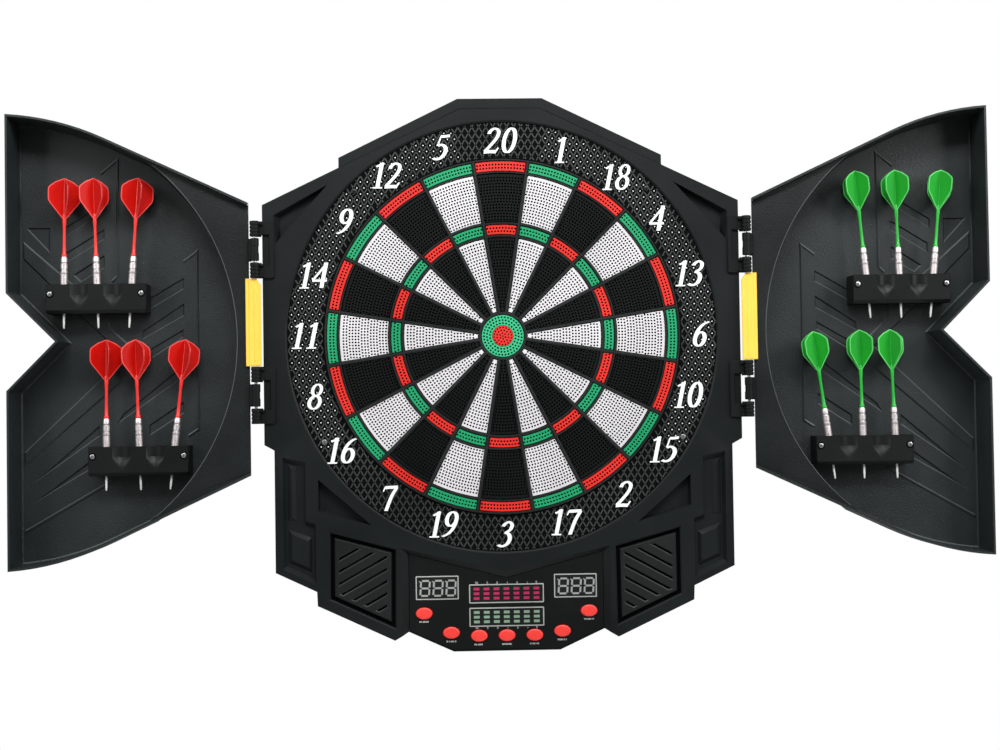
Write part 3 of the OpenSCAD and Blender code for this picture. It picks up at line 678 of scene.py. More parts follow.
figures = {
    "0": [sweep(round_path(0.32, 0.5, 0.205, 0.467), closed=True)],
    "1": [line([(0.33, 0.99), (0.33, 0.02)]), line([(0.14, 0.84), (0.25, 0.9), (0.39, 0.985)], 0.05, 0.035),
          line([(0.15, 0.025), (0.52, 0.025)], 0.03, 0.026)],
    "2": [sweep([(0.12, 0.76), (0.18, 0.89), (0.32, 0.962), (0.47, 0.88), (0.49, 0.72), (0.41, 0.52), (0.25, 0.28),
                 (0.1, 0.09)], 0.07, 0.036),
          line([(0.06, 0.055), (0.3, 0.07), (0.53, 0.062)], 0.04, 0.062),
          line([(0.5, 0.05), (0.585, 0.22)], 0.034, 0.03)],
    "3": [sweep([(0.13, 0.8), (0.2, 0.9), (0.33, 0.965), (0.46, 0.87), (0.44, 0.68), (0.27, 0.55)], 0.07, 0.034),
          sweep([(0.25, 0.555), (0.4, 0.5), (0.48, 0.33), (0.42, 0.13), (0.24, 0.035), (0.07, 0.09)], 0.08, 0.036)],
    "4": [line([(0.46, 0.95), (0.06, 0.32)], 0.05, 0.02), line([(0.04, 0.3), (0.6, 0.3)], 0.03, 0.042),
          line([(0.44, 0.99), (0.44, 0.02)])],
    "5": [line([(0.19, 0.92), (0.36, 0.925), (0.54, 0.95)], 0.035, 0.05),
          line([(0.2, 0.93), (0.14, 0.57)], 0.03, 0.02),
          sweep([(0.14, 0.56), (0.3, 0.6), (0.45, 0.5), (0.48, 0.31), (0.38, 0.12), (0.22, 0.035), (0.05, 0.08)],
                0.078, 0.036)],
    "6": [sweep(round_path(0.32, 0.3, 0.185, 0.267), closed=True),
          sweep([(0.56, 0.965), (0.36, 0.87), (0.21, 0.68), (0.14, 0.46), (0.135, 0.3)], 0.07, 0.026)],
    "7": [line([(0.09, 0.91), (0.3, 0.92), (0.57, 0.925)], 0.035, 0.058),
          line([(0.09, 0.93), (0.055, 0.76)], 0.028, 0.02),
          sweep([(0.54, 0.91), (0.4, 0.55), (0.3, 0.02)], 0.07, 0.03)],
    "8": [sweep(round_path(0.32, 0.75, 0.165, 0.217), 0.062, 0.03, closed=True),
          sweep(round_path(0.32, 0.278, 0.2, 0.247), 0.07, 0.032, closed=True)],
    "9": [sweep(round_path(0.32, 0.7, 0.185, 0.267), closed=True),
          sweep([(0.08, 0.035), (0.28, 0.13), (0.43, 0.32), (0.5, 0.54), (0.505, 0.7)], 0.07, 0.026)]}

figure_h, figure_w, figure_slant, figure_r = 24.4, 0.645, 0.21, 185.2
figure_shift = {20: (1.2, -0.4), 1: (0.8, -1.1), 18: (-0.5, -0.9), 4: (-1.7, 0.6), 13: (0.3, -0.2), 6: (1.9, -0.4),
                10: (-3.0, -0.6), 15: (-0.6, 0.0), 2: (3.8, -0.4), 17: (-1.8, 0.4), 3: (0.8, -0.9), 19: (-2.0, 0.2),
                7: (0, -0.9), 16: (-3.8, 3.5), 8: (0, 2.7), 11: (-0.4, 2.7), 14: (-1.9, 2.0), 9: (3.5, 0.8),
                12: (0.6, 2.9), 5: (2.6, 2.6)}
numbers = Moulding()
for i, value in enumerate((20, 1, 18, 4, 13, 6, 10, 15, 2, 17, 3, 19, 7, 16, 8, 11, 14, 9, 12, 5)):
    text = str(value)
    around = math.radians(18 * i)
    middle_x = figure_r * math.sin(around) + figure_shift[value][0]
    middle_z = figure_r * math.cos(around) + figure_shift[value][1]
    for k, digit in enumerate(text):
        start = (k - len(text) / 2) * figure_w * (0.86 if "1" in text and len(text) == 2 else 1)
        placed = [[[(figure_h * (start + p[0] + figure_slant * (p[1] - 0.5)) + middle_x,
                     figure_h * (p[1] - 0.5) + middle_z) for p in loop] for loop in stroke]
                  for stroke in figures[digit]]
        stamp(numbers, placed, ring_floor, ring_front + 0.35)
settle(numbers.made("ring_numbers", [figure_ink], weld=1e-7), "cabinet", "ring_plastic", "catch_ring")

# ---- Scoring segments
# Sprung plates of dyed polypropylene, pierced all over so that a soft tip holds. Twenty sectors each have a
# narrow double, an outer single, a narrow triple and an inner single, and press back on the switch film.

def dyed(name, colour, roughness=0.42):
    """a dyed plastic that is a little paler along its sharply convex edges"""
    finish, tree, shader = tree_of(name)
    face = node(tree, "ShaderNodeGroup", {
        "Colour": (*colour, 1), "Patch": 0.08, "Pebble Scale": 1800.0, "Pebble Depth": 0.08,
        "Roughness": roughness}, node_tree=grain)
    edge = node(tree, "ShaderNodeGroup", node_tree=paler_edges)
    joined(tree, face.outputs["Colour"], edge.inputs["Colour"])
    joined(tree, edge.outputs["Colour"], shader.inputs["Base Color"])
    joined(tree, face.outputs["Roughness"], shader.inputs["Roughness"])
    joined(tree, face.outputs["Normal"], shader.inputs["Normal"])
    return finish

paler_edges, e_in, e_out = new_group("paler_edges", [
    ("Colour", "NodeSocketColor", (0.5, 0.5, 0.5, 1)), ("Gain", "NodeSocketFloat", 0.35)],
    [("Colour", "NodeSocketColor")])
e_shape = node(paler_edges, "ShaderNodeNewGeometry")
e_mask = node(paler_edges, "ShaderNodeMapRange", {"From Min": 0.52, "From Max": 0.7})
e_amount = node(paler_edges, "ShaderNodeMath", operation="MULTIPLY")
e_gain = node(paler_edges, "ShaderNodeMath", {1: 1.0}, operation="ADD")
e_tint = node(paler_edges, "ShaderNodeVectorMath", operation="SCALE")
wire(paler_edges, [
    (e_shape.outputs["Pointiness"], e_mask.inputs["Value"]), (e_mask.outputs[0], e_amount.inputs[0]),
    (e_in.outputs["Gain"], e_amount.inputs[1]), (e_amount.outputs[0], e_gain.inputs[0]),
    (e_in.outputs["Colour"], e_tint.inputs[0]), (e_gain.outputs[0], e_tint.inputs["Scale"]),
    (e_tint.outputs[0], e_out.inputs["Colour"])])

segment_red = dyed("segment_red", (0.66, 0.02, 0.013))
segment_green = dyed("segment_green", (0.008, 0.3, 0.12))
segment_black = moulded("segment_black", (0.0034, 0.0042, 0.0041), 0.5, pebble=1800, depth=0.1, specular=0.15)
segment_white = dyed("segment_white", (0.63, 0.615, 0.63), 0.45)
# near-black and darkened copies for the walls and floors of the holes: painted shade in the blind holes
recess_painted_shade = moulded("recess_painted_shade", (0.001, 0.001, 0.001), 0.8, specular=0.05)
red_pit_painted_shade = moulded("red_pit_painted_shade", (0.02, 0.0008, 0.0008), 0.7, specular=0.05)
green_pit_painted_shade = moulded("green_pit_painted_shade", (0.0008, 0.009, 0.004), 0.7, specular=0.05)

board, bd_in, bd_out = tree_for("round_the_board", [
    ("Count", "NodeSocketInt"), ("First Turn", "NodeSocketFloat"), ("Step", "NodeSocketFloat"),
    ("Finish", "NodeSocketMaterial"), ("Pit Painted Shade", "NodeSocketMaterial")])
bd_points = board.nodes.new("GeometryNodePoints")
bd_index = board.nodes.new("GeometryNodeInputIndex")
bd_turn = node(board, "ShaderNodeMath", operation="MULTIPLY_ADD")
bd_euler = board.nodes.new("ShaderNodeCombineXYZ")
bd_rotation = board.nodes.new("FunctionNodeEulerToRotation")
bd_place = board.nodes.new("GeometryNodeInstanceOnPoints")
bd_real = board.nodes.new("GeometryNodeRealizeInstances")
bd_finish = board.nodes.new("GeometryNodeSetMaterial")
bd_mark = node(board, "GeometryNodeInputNamedAttribute", {"Name": "pit"}, data_type="BOOLEAN")
# gives the hole faces their painted shade
bd_pit_shade_paint = board.nodes.new("GeometryNodeSetMaterial")
wire(board, [
    (bd_in.outputs["Count"], bd_points.inputs["Count"]), (bd_index.outputs[0], bd_turn.inputs[0]),
    (bd_in.outputs["Step"], bd_turn.inputs[1]), (bd_in.outputs["First Turn"], bd_turn.inputs[2]),
    (bd_turn.outputs[0], bd_euler.inputs["Y"]), (bd_euler.outputs[0], bd_rotation.inputs[0]),
    (bd_points.outputs[0], bd_place.inputs["Points"]), (bd_in.outputs["Geometry"], bd_place.inputs["Instance"]),
    (bd_rotation.outputs[0], bd_place.inputs["Rotation"]), (bd_place.outputs[0], bd_real.inputs[0]),
    (bd_real.outputs[0], bd_finish.inputs["Geometry"]), (bd_in.outputs["Finish"], bd_finish.inputs["Material"]),
    (bd_finish.outputs[0], bd_pit_shade_paint.inputs["Geometry"]), (bd_mark.outputs[0], bd_pit_shade_paint.inputs["Selection"]),
    (bd_in.outputs["Pit Painted Shade"], bd_pit_shade_paint.inputs["Material"]), (bd_pit_shade_paint.outputs[0], bd_out.inputs["Geometry"])])

plate_back, plate_front, plate_edge = 28.4, 37.1, 0.3
hole_r, hole_floor, hole_sides = 0.96, 34.6, 8
sector = 18
wall_half = 2.0

def on_arc(radius, degrees):
    return (radius * math.sin(math.radians(degrees)), radius * math.cos(math.radians(degrees)))

def wedge(r_in, r_out, side, step=1.5):
    """one sector's outline; side is how far its flanks stand from the sector's edges"""
    def arc(radius):
        half = sector / 2 - math.degrees(math.asin(side / radius))
        count = max(2, math.ceil(2 * half / step))
        return [on_arc(radius, half - 2 * half * i / count) for i in range(count + 1)]
    return arc(r_out) + arc(r_in)[::-1]

def pierced(shape, outline, top, holes, size=hole_r):
    """a plate with blind holes, whose walls and floors are inked apart for painted shade"""
    rims = [circle(size, hole_sides, hole, math.pi / hole_sides) for hole in holes]
    shape.ink = 0
    shape.relief([(outline, plate_front - plate_edge, True), (top, plate_front, True)]
                 + [(rim, plate_front, True) for rim in rims], outline, rims)
    shape.walls(outline, (plate_front - plate_edge, plate_back))
    shape.relief([(outline, plate_back, True)], outline)
    for hole, rim in zip(holes, rims):
        mouth = shape.loop(rim, plate_front)
        foot = shape.loop(circle(size * 0.9, hole_sides, hole, math.pi / hole_sides), hole_floor)
        shape.ink = 1
        shape.wall(mouth, foot)
        shape.face(foot)
        shape.ink = 0

def hole_rows(rows, pitch, side):
    spots = []
    for radius in rows:
        half = sector / 2 - math.degrees(math.asin(side / radius))
        width = math.radians(2 * half) * radius
        count = max(1, int((width - 1.7) / pitch) + 1)
        gap = math.degrees(pitch / radius) if count > 1 else 0
        spots += [on_arc(radius, (k - (count - 1) / 2) * gap) for k in range(count)]
    return spots

def segment_mesh(name, bands):
    shape = Moulding()
    for r_in, r_out, rows, pitch in bands:
        outline = wedge(r_in, r_out, wall_half)
        top = wedge(r_in + plate_edge, r_out - plate_edge, wall_half + plate_edge)
        pierced(shape, outline, top, hole_rows(rows, pitch, wall_half))
    piece = shape.made(name, [], weld=1e-7)
    mesh = piece.data
    bpy.data.objects.remove(piece)
    return mark_pits(mesh)

def mark_pits(mesh):
    """notes which faces lie in the blind holes, where shade is painted"""
    mark = mesh.attributes.new("pit", "BOOLEAN", "FACE")
    values = [polygon.material_index == 1 for polygon in mesh.polygons]
    mark.data.foreach_set("value", values)
    return mesh

inner_rows = [27.8 + 2.94 * k for k in range(22)]
outer_rows = [109.9 + 2.84 * k for k in range(15)]
single_bands = [(23.4, 92.7, inner_rows, 2.86), (108.1, 153.2, outer_rows, 2.83)]
double_bands = [(156, 165, (158.95, 162.05), 2.93)]
triple_bands = [(96.2, 104.9, (99.0, 102.1), 2.93)]
for name, bands, first, finish, pit, slot in (
        ("double_red_segments", double_bands, 0, segment_red, red_pit_painted_shade, "segment_red"),
        ("double_green_segments", double_bands, sector, segment_green, green_pit_painted_shade, "segment_green"),
        ("triple_red_segments", triple_bands, 0, segment_red, red_pit_painted_shade, "segment_red"),
        ("triple_green_segments", triple_bands, sector, segment_green, green_pit_painted_shade, "segment_green"),
        ("black_single_segments", single_bands, 0, segment_black, recess_painted_shade, "segment_black"),
        ("white_single_segments", single_bands, sector, segment_white, recess_painted_shade, "segment_white")):
    plates = grown(name + "_plates", segment_mesh(name + "_one", bands), board, {
        "Count": 10, "First Turn": math.radians(first), "Step": math.radians(2 * sector), "Finish": finish,
        "Pit Painted Shade": pit})
    settle(plates, name, slot, name)

# ---- Bull
# A green ring and a red centre button, pierced like the segments and sprung the same way.

def hole_circles(rows):
    return [spot for radius, count in rows for spot in circle(radius, count, start=radius)] if rows else []

bull = Moulding()
bull_in, bull_out = circle(10.0, 64), circle(19.8, 72)
rims = [circle(hole_r, 8, spot) for spot in hole_circles([(12.1, 25), (14.95, 31), (17.75, 37)])]
bull.relief([(bull_out, 36.8, True), (circle(19.5, 72), 37.1, True), (circle(10.3, 64), 37.1, True),
             (bull_in, 36.8, True)] + [(rim, 37.1, True) for rim in rims], bull_out, [bull_in, *rims])
bull.walls(bull_out, (36.8, plate_back))
bull.walls(bull_in, (36.8, plate_back))
bull.relief([(bull_out, plate_back, True), (bull_in, plate_back, True)], bull_out, [bull_in])
for rim in rims:
    # the bull's hole walls and floors take the second finish: painted shade
    foot = bull.loop(rim, 34.6)
    bull.ink = 1
    bull.wall(bull.loop(rim, 37.1), foot)
    bull.face(foot)
    bull.ink = 0
bright_green = dyed("bull_green", (0.03, 0.42, 0.19))
settle(bull.made("outer_bull_ring", [bright_green, green_pit_painted_shade], weld=1e-6), "outer_bull", "segment_green",
       "outer_bull")
eye = Moulding()
pierced(eye, circle(9.6, 64), circle(9.3, 64), [(0, 0)] + hole_circles([(2.75, 6), (5.5, 12), (8.15, 18)]), 0.84)
settle(eye.made("inner_bull_button", [segment_red, red_pit_painted_shade], weld=1e-6), "inner_bull", "segment_red", "inner_bull")

# ---- Spider
# One black grid moulding: five rings and twenty spokes with narrow ridged tops keep the segments apart.

# the spider is black plastic whose colour is raised to a grey that paints the highlights along its ridges
spider_black_and_painted_sheen = moulded("spider_black_and_painted_sheen", (0.014, 0.0155, 0.0155), 0.4, pebble=2000, depth=0.1)
spider_back, spider_shoulder, crest_half, spoke_half = 27.6, 37.5, 0.45, 1.4
spider = Moulding()
for r_in, r_out in ((20.3, 22.8), (93.3, 95.6), (105.5, 107.5), (153.8, 155.4), (165.6, 167.6)):
    middle = (r_in + r_out) / 2
    lathe(spider, [(r_in, spider_back), (r_in, spider_shoulder), (middle - crest_half, 38.3),
                   (middle + crest_half, 38.3), (r_out, spider_shoulder), (r_out, spider_back)],
          120 if r_out < 50 else 180)
settle(spider.made("spider_rings", [spider_black_and_painted_sheen]), "cabinet", "ring_plastic", "spider")
spoke = Moulding()
for z in (21.8, 166.6):
    spoke.points += [(x, out, z) for x, out in (
        (-spoke_half, spider_back), (spoke_half, spider_back), (spoke_half, spider_shoulder), (crest_half, 38.4),
        (-crest_half, 38.4), (-spoke_half, spider_shoulder))]
spoke.wall(list(range(6)), list(range(6, 12)))
spoke.face(range(6))
spoke.face(range(6, 12))
one_spoke = spoke.made("one_spoke", [])
one_spoke_mesh = one_spoke.data
bpy.data.objects.remove(one_spoke)
spokes = grown("spider_spokes", one_spoke_mesh, board, {
    "Count": 20, "First Turn": math.radians(sector / 2), "Step": math.radians(sector), "Finish": spider_black_and_painted_sheen,
    "Pit Painted Shade": spider_black_and_painted_sheen})
settle(spokes, "cabinet", "ring_plastic", "spider")

# ---- Console
# A piano-black acrylic panel with silk-screened frames and marks. Behind its windows sit two three-figure
# score displays and two rows of small status lamps; seven oval rubber keys stand through it.

def pieces_of(polygon, cutter):
    """the part of a convex polygon that lies inside a counter-clockwise convex cutter"""
    for a, b in zip(cutter, cutter[1:] + cutter[:1]):
        kept = []
        def side(p):
            return (b[0] - a[0]) * (p[1] - a[1]) - (b[1] - a[1]) * (p[0] - a[0])
        for p, q in zip(polygon, polygon[1:] + polygon[:1]):
            sp, sq = side(p), side(q)
            if sp >= 0:
                kept.append(p)
            if (sp > 0) != (sq > 0) and sp != sq:
                t = sp / (sp - sq)
                kept.append((p[0] + t * (q[0] - p[0]), p[1] + t * (q[1] - p[1])))
        polygon = kept
    return polygon

def oblong(x, z, width, height, corner=0.0, steps=4):
    """a counter-clockwise rectangle with round corners"""
    if not corner:
        return [(x - width / 2, z - height / 2), (x + width / 2, z - height / 2),
                (x + width / 2, z + height / 2), (x - width / 2, z + height / 2)]
    points = []
    for sx, sz, first in ((1, -1, -90), (1, 1, 0), (-1, 1, 90), (-1, -1, 180)):
        for k in range(steps + 1):
            turn = math.radians(first + 90 * k / steps)
            points.append((x + sx * (width / 2 - corner) + corner * math.cos(turn),
                           z + sz * (height / 2 - corner) + corner * math.sin(turn)))
    return points

def oval(x, z, a, b, count=40):
    return [(x + a * math.cos(math.tau * i / count), z + b * math.sin(math.tau * i / count)) for i in range(count)]

console_gloss = moulded("console_gloss", (0.0042, 0.005, 0.0048), 0.16, pebble=500, depth=0.01, patch=0.3, coat=0.3)
frame_ink = moulded("frame_ink", (0.36, 0.38, 0.36), 0.5, pebble=2600, depth=0.05)
caption_ink = moulded("caption_ink", (0.42, 0.43, 0.42), 0.5, pebble=2600, depth=0.05)
window_dark = moulded("window_dark", (0.012, 0.013, 0.012), 0.2, pebble=900, depth=0.02)
figure_off = moulded("figure_off", (0.3, 0.32, 0.31), 0.45, pebble=2600, depth=0.05)
lamp_red = moulded("lamp_red", (0.42, 0.025, 0.1), 0.35, pebble=2600, depth=0.05)
lamp_green = moulded("lamp_green", (0.22, 0.33, 0.24), 0.35, pebble=2600, depth=0.05)
key_red = dyed("key_red", (0.86, 0.045, 0.034), 0.45)

keys = [(-77.5, -259.3), (-52.2, -277.8), (-26.1, -281.1), (0, -281.1), (26.1, -281.1), (52.2, -277.8),
        (77.5, -259.3)]
key_half = (7.75, 5.45)
score_spots, score_size = [(-65, -235.6), (65, -235.6)], (38.4, 20.4)
lamp_spots, lamp_size = [(0, -241.9), (0, -263.8)], (68.4, 16)
panel_outline = both_sides([(50, -294.2), (91.4, -275.4), (91.4, -203)])
panel_outline.insert(3, (0, -227))
windows = [oblong(*spot, *score_size) for spot in score_spots] + [oblong(*spot, *lamp_size) for spot in lamp_spots]
key_holes = [oval(*key, key_half[0] + 0.6, key_half[1] + 0.6) for key in keys]
console = Moulding()
console.plate(inset(panel_outline, 0.1), windows + key_holes, 31, 33, 0.25)
settle(console.made("console_panel_face", [console_gloss]), "cabinet", "console_gloss", "console_panel")

frames = Moulding()
for spot, size in [(s, score_size) for s in score_spots] + [(s, lamp_size) for s in lamp_spots]:
    inner = oblong(*spot, size[0] - 0.2, size[1] - 0.2)
    outer = oblong(*spot, size[0] + 1.9, size[1] + 1.9, 0.8)
    frames.relief([(outer, 33.0, True), (inset(outer, 0.15), 33.12, True), (inner, 33.12, True)], outer, [inner])
    frames.walls(inner, (33.12, 32.6))
    frames.walls(outer, (33.0, 32.6))
    frames.relief([(outer, 32.6, True), (inner, 32.6, True)], outer, [inner])
settle(frames.made("display_frames", [frame_ink]), "cabinet", "console_gloss", "console_panel")

def display_block(name, spots, size, node_name):
    block = Moulding()
    for spot in spots:
        block.plate(oblong(*spot, size[0] - 0.5, size[1] - 0.5), [], 24, 32.3, 0.2)
    settle(block.made(name, [window_dark]), "cabinet", "display_window", node_name)

display_block("score_windows", score_spots, score_size, "score_displays")
display_block("lamp_windows", lamp_spots, lamp_size, "cricket_displays")

digits = Moulding()
digit_w, digit_h, digit_step, digit_slant, bar = 8.2, 14.0, 12.2, 0.07, 0.85
for x0, z0 in score_spots:
    for k in (-1, 0, 1):
        middle = (x0 + k * digit_step + 0.8, z0 - 0.4)
        def leaning(points):
            return [(middle[0] + x + digit_slant * z, middle[1] + z) for x, z in points]
        w, h = digit_w / 2, digit_h / 2
        bars = [[(-w + 0.9, s * h), (w - 0.9, s * h)] for s in (-1, 0, 1)]
        bars += [[(s * w, t * 0.8), (s * w, t * (h - 0.8))] for s in (-1, 1) for t in (-1, 1)]
        stamp(digits, [nib_stroke([np.array(p) for p in leaning(b)], bar, bar) for b in bars], 32.2, 32.5)
        stamp(digits, [[leaning(circle(0.6, 8, (-w - 1.4, h - 0.7)))]], 32.2, 32.5)
settle(digits.made("score_digits", [figure_off], weld=1e-7), "cabinet", "display_window", "score_displays")

tiles, tl_in, tl_out = tree_for("tiles", [("Size", "NodeSocketVector"), ("Finish", "NodeSocketMaterial")])
tl_shape = tiles.nodes.new("GeometryNodeMeshCube")
tl_place = tiles.nodes.new("GeometryNodeInstanceOnPoints")
tl_real = tiles.nodes.new("GeometryNodeRealizeInstances")
tl_finish = tiles.nodes.new("GeometryNodeSetMaterial")
wire(tiles, [
    (tl_in.outputs["Size"], tl_shape.inputs["Size"]), (tl_in.outputs["Geometry"], tl_place.inputs["Points"]),
    (tl_shape.outputs["Mesh"], tl_place.inputs["Instance"]), (tl_place.outputs[0], tl_real.inputs[0]),
    (tl_real.outputs[0], tl_finish.inputs["Geometry"]), (tl_in.outputs["Finish"], tl_finish.inputs["Material"]),
    (tl_finish.outputs[0], tl_out.inputs["Geometry"])])

def tiled(name, spots, out, size, finish):
    cloud = bpy.data.meshes.new(name + "_cloud")
    cloud.from_pydata([mm(x, out, z) for x, z in spots], [], [])
    return grown(name, cloud, tiles, {"Size": tuple(v / 1000 for v in size), "Finish": finish})

lamp_columns = [9.4 * (k - 3) for k in range(7)]
for name, spot, finish in (("upper_lamps", lamp_spots[0], lamp_red), ("lower_lamps", lamp_spots[1], lamp_green)):
    lamps = tiled(name, [(spot[0] + x, spot[1] + z) for x in lamp_columns for z in (-4.4, 0, 4.4)], 32.4,
                  (5.4, 0.4, 2.5), finish)
    settle(lamps, "cabinet", "display_window", "cricket_displays")

captions = Moulding()
for x, value in zip(lamp_columns, ("20", "19", "18", "17", "16", "15", "0")):
    for z in (-231.7, -273.9):
        for k, digit in enumerate(value):
            start = (k - len(value) / 2) * figure_w
            stamp(captions, [[[(x + 2.3 * (start + p[0]), z + 2.3 * (p[1] - 0.5)) for p in loop[::3]]
                              for loop in stroke] for stroke in figures[digit]], 32.95, 33.1)
settle(captions.made("lamp_captions", [caption_ink], weld=1e-8), "cabinet", "console_gloss", "console_panel")
words = random.Random(7)
marks = []
for x, z in keys:
    z -= 8.2 if z < -276 else 7.9
    along = x - 4.4
    while along < x + 4.2:
        marks.append((along, z))
        along += words.choice((0.8, 0.8, 0.9, 1.5))
settle(tiled("key_captions", [m for m in marks if -292.2 < m[1]], 33.0, (0.55, 0.16, 1.5), caption_ink),
       "cabinet", "console_gloss", "console_panel")

for number, key in enumerate(keys, 1):
    cap = Moulding()
    rings = [cap.loop(oval(*key, key_half[0] * s + grow, key_half[1] * s + grow), out) for s, grow, out in (
        (0.45, 0, 27.4), (1, 1.2, 27.4), (1, 1.2, 30.6), (1, 0, 30.6), (1, 0, 33.9), (0.96, 0, 34.45),
        (0.86, 0, 34.8), (0.7, 0, 34.95), (0.35, 0, 35.0))]
    for a, b in zip(rings, rings[1:]):
        cap.wall(a, b)
    cap.face(rings[0])
    cap.face(rings[-1])
    settle(cap.made(f"key_{number}", [key_red]), f"button_{number}", "button_red", f"button_{number}")

# ---- Speaker grilles
# Two mirrored moulded plates snap into the housing beside the console. Each has a raised field with seven
# slanting slots, and a groove round it.

grille_plastic = moulded("grille_plastic", (0.006, 0.0076, 0.0076), 0.5, pebble=1500, depth=0.2, patch=0.14)
field, slotted = inset(grille_hole, 4), inset(grille_hole, 8)
slots = []
for i in range(-3, 4):
    bar_shape = []
    for x, z in ((-40, -0.95), (40, -0.95), (40, 0.95), (-40, 0.95)):
        turn = math.radians(29)
        bar_shape.append((-132 + x * math.cos(turn) - z * math.sin(turn),
                          -228 + 11.4 * i + x * math.sin(turn) + z * math.cos(turn)))
    slot = pieces_of(bar_shape, slotted)
    if len(slot) > 2 and max(p[0] for p in slot) - min(p[0] for p in slot) > 4:
        slots.append(slot)
plate_rim = inset(grille_hole, 0.15)
grille = Moulding()
grille.relief([(plate_rim, 33.6, True), (inset(grille_hole, 3.3), 33.6, True), (field, 36.4, True),
               (inset(grille_hole, 4.6), 36.9, True)]
              + [(slot, 36.2, True) for slot in slots] + [(inset(slot, -1.1), 36.9, True) for slot in slots],
              plate_rim, slots)
# the groove floor, the slot walls and the plate's back take the near-black second finish: painted shade in the
# recesses
grille.inks = [int(all(grille.points[k][1] < 33.7 for k in face)) for face in grille.faces]
grille.ink = 1
for slot in slots:
    grille.walls(slot, (36.2, 33.1))
grille.walls(plate_rim, (33.6, 33.1))
grille.relief([(loop, 33.1, True) for loop in (plate_rim, *slots)], plate_rim, slots)
left_grille = grille.made("left_grille_plate", [grille_plastic, recess_painted_shade])
settle(left_grille, "cabinet", "housing_plastic", "left_grille")
settle(other_hand(left_grille, "right_grille_plate"), "cabinet", "housing_plastic", "right_grille")

# ---- Power inlet
# A round direct-current socket with a contact pin in its bore, set in the right-hand side wall.

inlet_plastic = moulded("inlet_plastic", (0.008, 0.008, 0.009), 0.35, pebble=2200, depth=0.08)
pin_brass = metal("pin_brass", (0.72, 0.66, 0.5), 0.25)
inlet_x, inlet_out, inlet_z = 215.5, 18, -154.5

def inlet_axis(u, v, w):
    return (inlet_x + w, inlet_out + v, inlet_z + u)

inlet = Moulding()
lathe(inlet, [(0.95, -12.8), (5.5, -12.8), (5.5, 0.0), (7.2, 0.0), (7.3, 0.5), (7.0, 1.0), (6.4, 1.25), (3.4, 1.25),
              (2.85, 0.9), (2.85, -8.6), (0.95, -8.6)], 40, inlet_axis)
settle(inlet.made("power_inlet_body", [inlet_plastic]), "cabinet", "inlet_plastic", "power_inlet")
contact = Moulding()
lathe(contact, [(0.95, -12.6), (0.95, -1.0), (0.5, -0.4), (0.1, -0.3)], 16, inlet_axis, capped=True)
settle(contact.made("power_inlet_pin", [pin_brass]), "cabinet", "inlet_plastic", "power_inlet")

# ---- Screws
# Pan-head self-tapping screws with a cross recess: bright zinc ones in the back cover, the dart holders and the
# lower half of the catch ring, and blackened ones in its upper half.

screw_steel = metal("screw_steel", (0.56, 0.56, 0.57), 0.3)
black_steel = metal("black_steel", (0.05, 0.05, 0.052), 0.38)

def screw(name, head, shank, height, length, backwards=False):
    """a seed screw whose head stands on the point that it is placed on"""
    shape = Moulding()
    for points, outs in (([circle(head * s, 20) for s in (1, 1, 0.9, 0.66)],
                          (0.0, height * 0.45, height * 0.85, height)),):
        rings = [shape.loop(p, o) for p, o in zip(points, outs)]
        for a, b in zip(rings, rings[1:]):
            shape.wall(a, b)
        arm, half = head * 0.5, head * 0.14
        cross = [(arm, -half), (arm, half), (half, half), (half, arm), (-half, arm), (-half, half), (-arm, half),
                 (-arm, -half), (-half, -half), (-half, -arm), (half, -arm), (half, -half)]
        shape.relief([(points[-1], height, True), (cross, height, True)], points[-1], [cross])
        foot = shape.loop(cross, height * 0.35)
        shape.wall(shape.loop(cross, height), foot)
        shape.face(foot)
    under = [shape.loop(circle(head * 1.0, 20), 0.0), shape.loop(circle(shank, 20), 0.0),
             shape.loop(circle(shank, 20), -length)]
    shape.wall(under[0], under[1])
    shape.wall(under[1], under[2])
    shape.face(under[2])
    if backwards:
        shape.points = [(x, -out, z) for x, out, z in shape.points]
    seed = shape.made(name, [])
    seed.hide_render = True
    return seed

fixings, fx_in, fx_out = tree_for("fixings", [("Fixing", "NodeSocketObject"), ("Finish", "NodeSocketMaterial")])
fx_info = fixings.nodes.new("GeometryNodeObjectInfo")
fx_place = fixings.nodes.new("GeometryNodeInstanceOnPoints")
fx_real = fixings.nodes.new("GeometryNodeRealizeInstances")
fx_finish = fixings.nodes.new("GeometryNodeSetMaterial")
wire(fixings, [
    (fx_in.outputs["Fixing"], fx_info.inputs["Object"]), (fx_in.outputs["Geometry"], fx_place.inputs["Points"]),
    (fx_info.outputs["Geometry"], fx_place.inputs["Instance"]), (fx_place.outputs[0], fx_real.inputs[0]),
    (fx_real.outputs[0], fx_finish.inputs["Geometry"]), (fx_in.outputs["Finish"], fx_finish.inputs["Material"]),
    (fx_finish.outputs[0], fx_out.inputs["Geometry"])])

def fixed(name, seed, spots, finish):
    cloud = bpy.data.meshes.new(name + "_cloud")
    cloud.from_pydata([mm(*spot) for spot in spots], [], [])
    return grown(name, cloud, fixings, {"Fixing": seed, "Finish": finish})

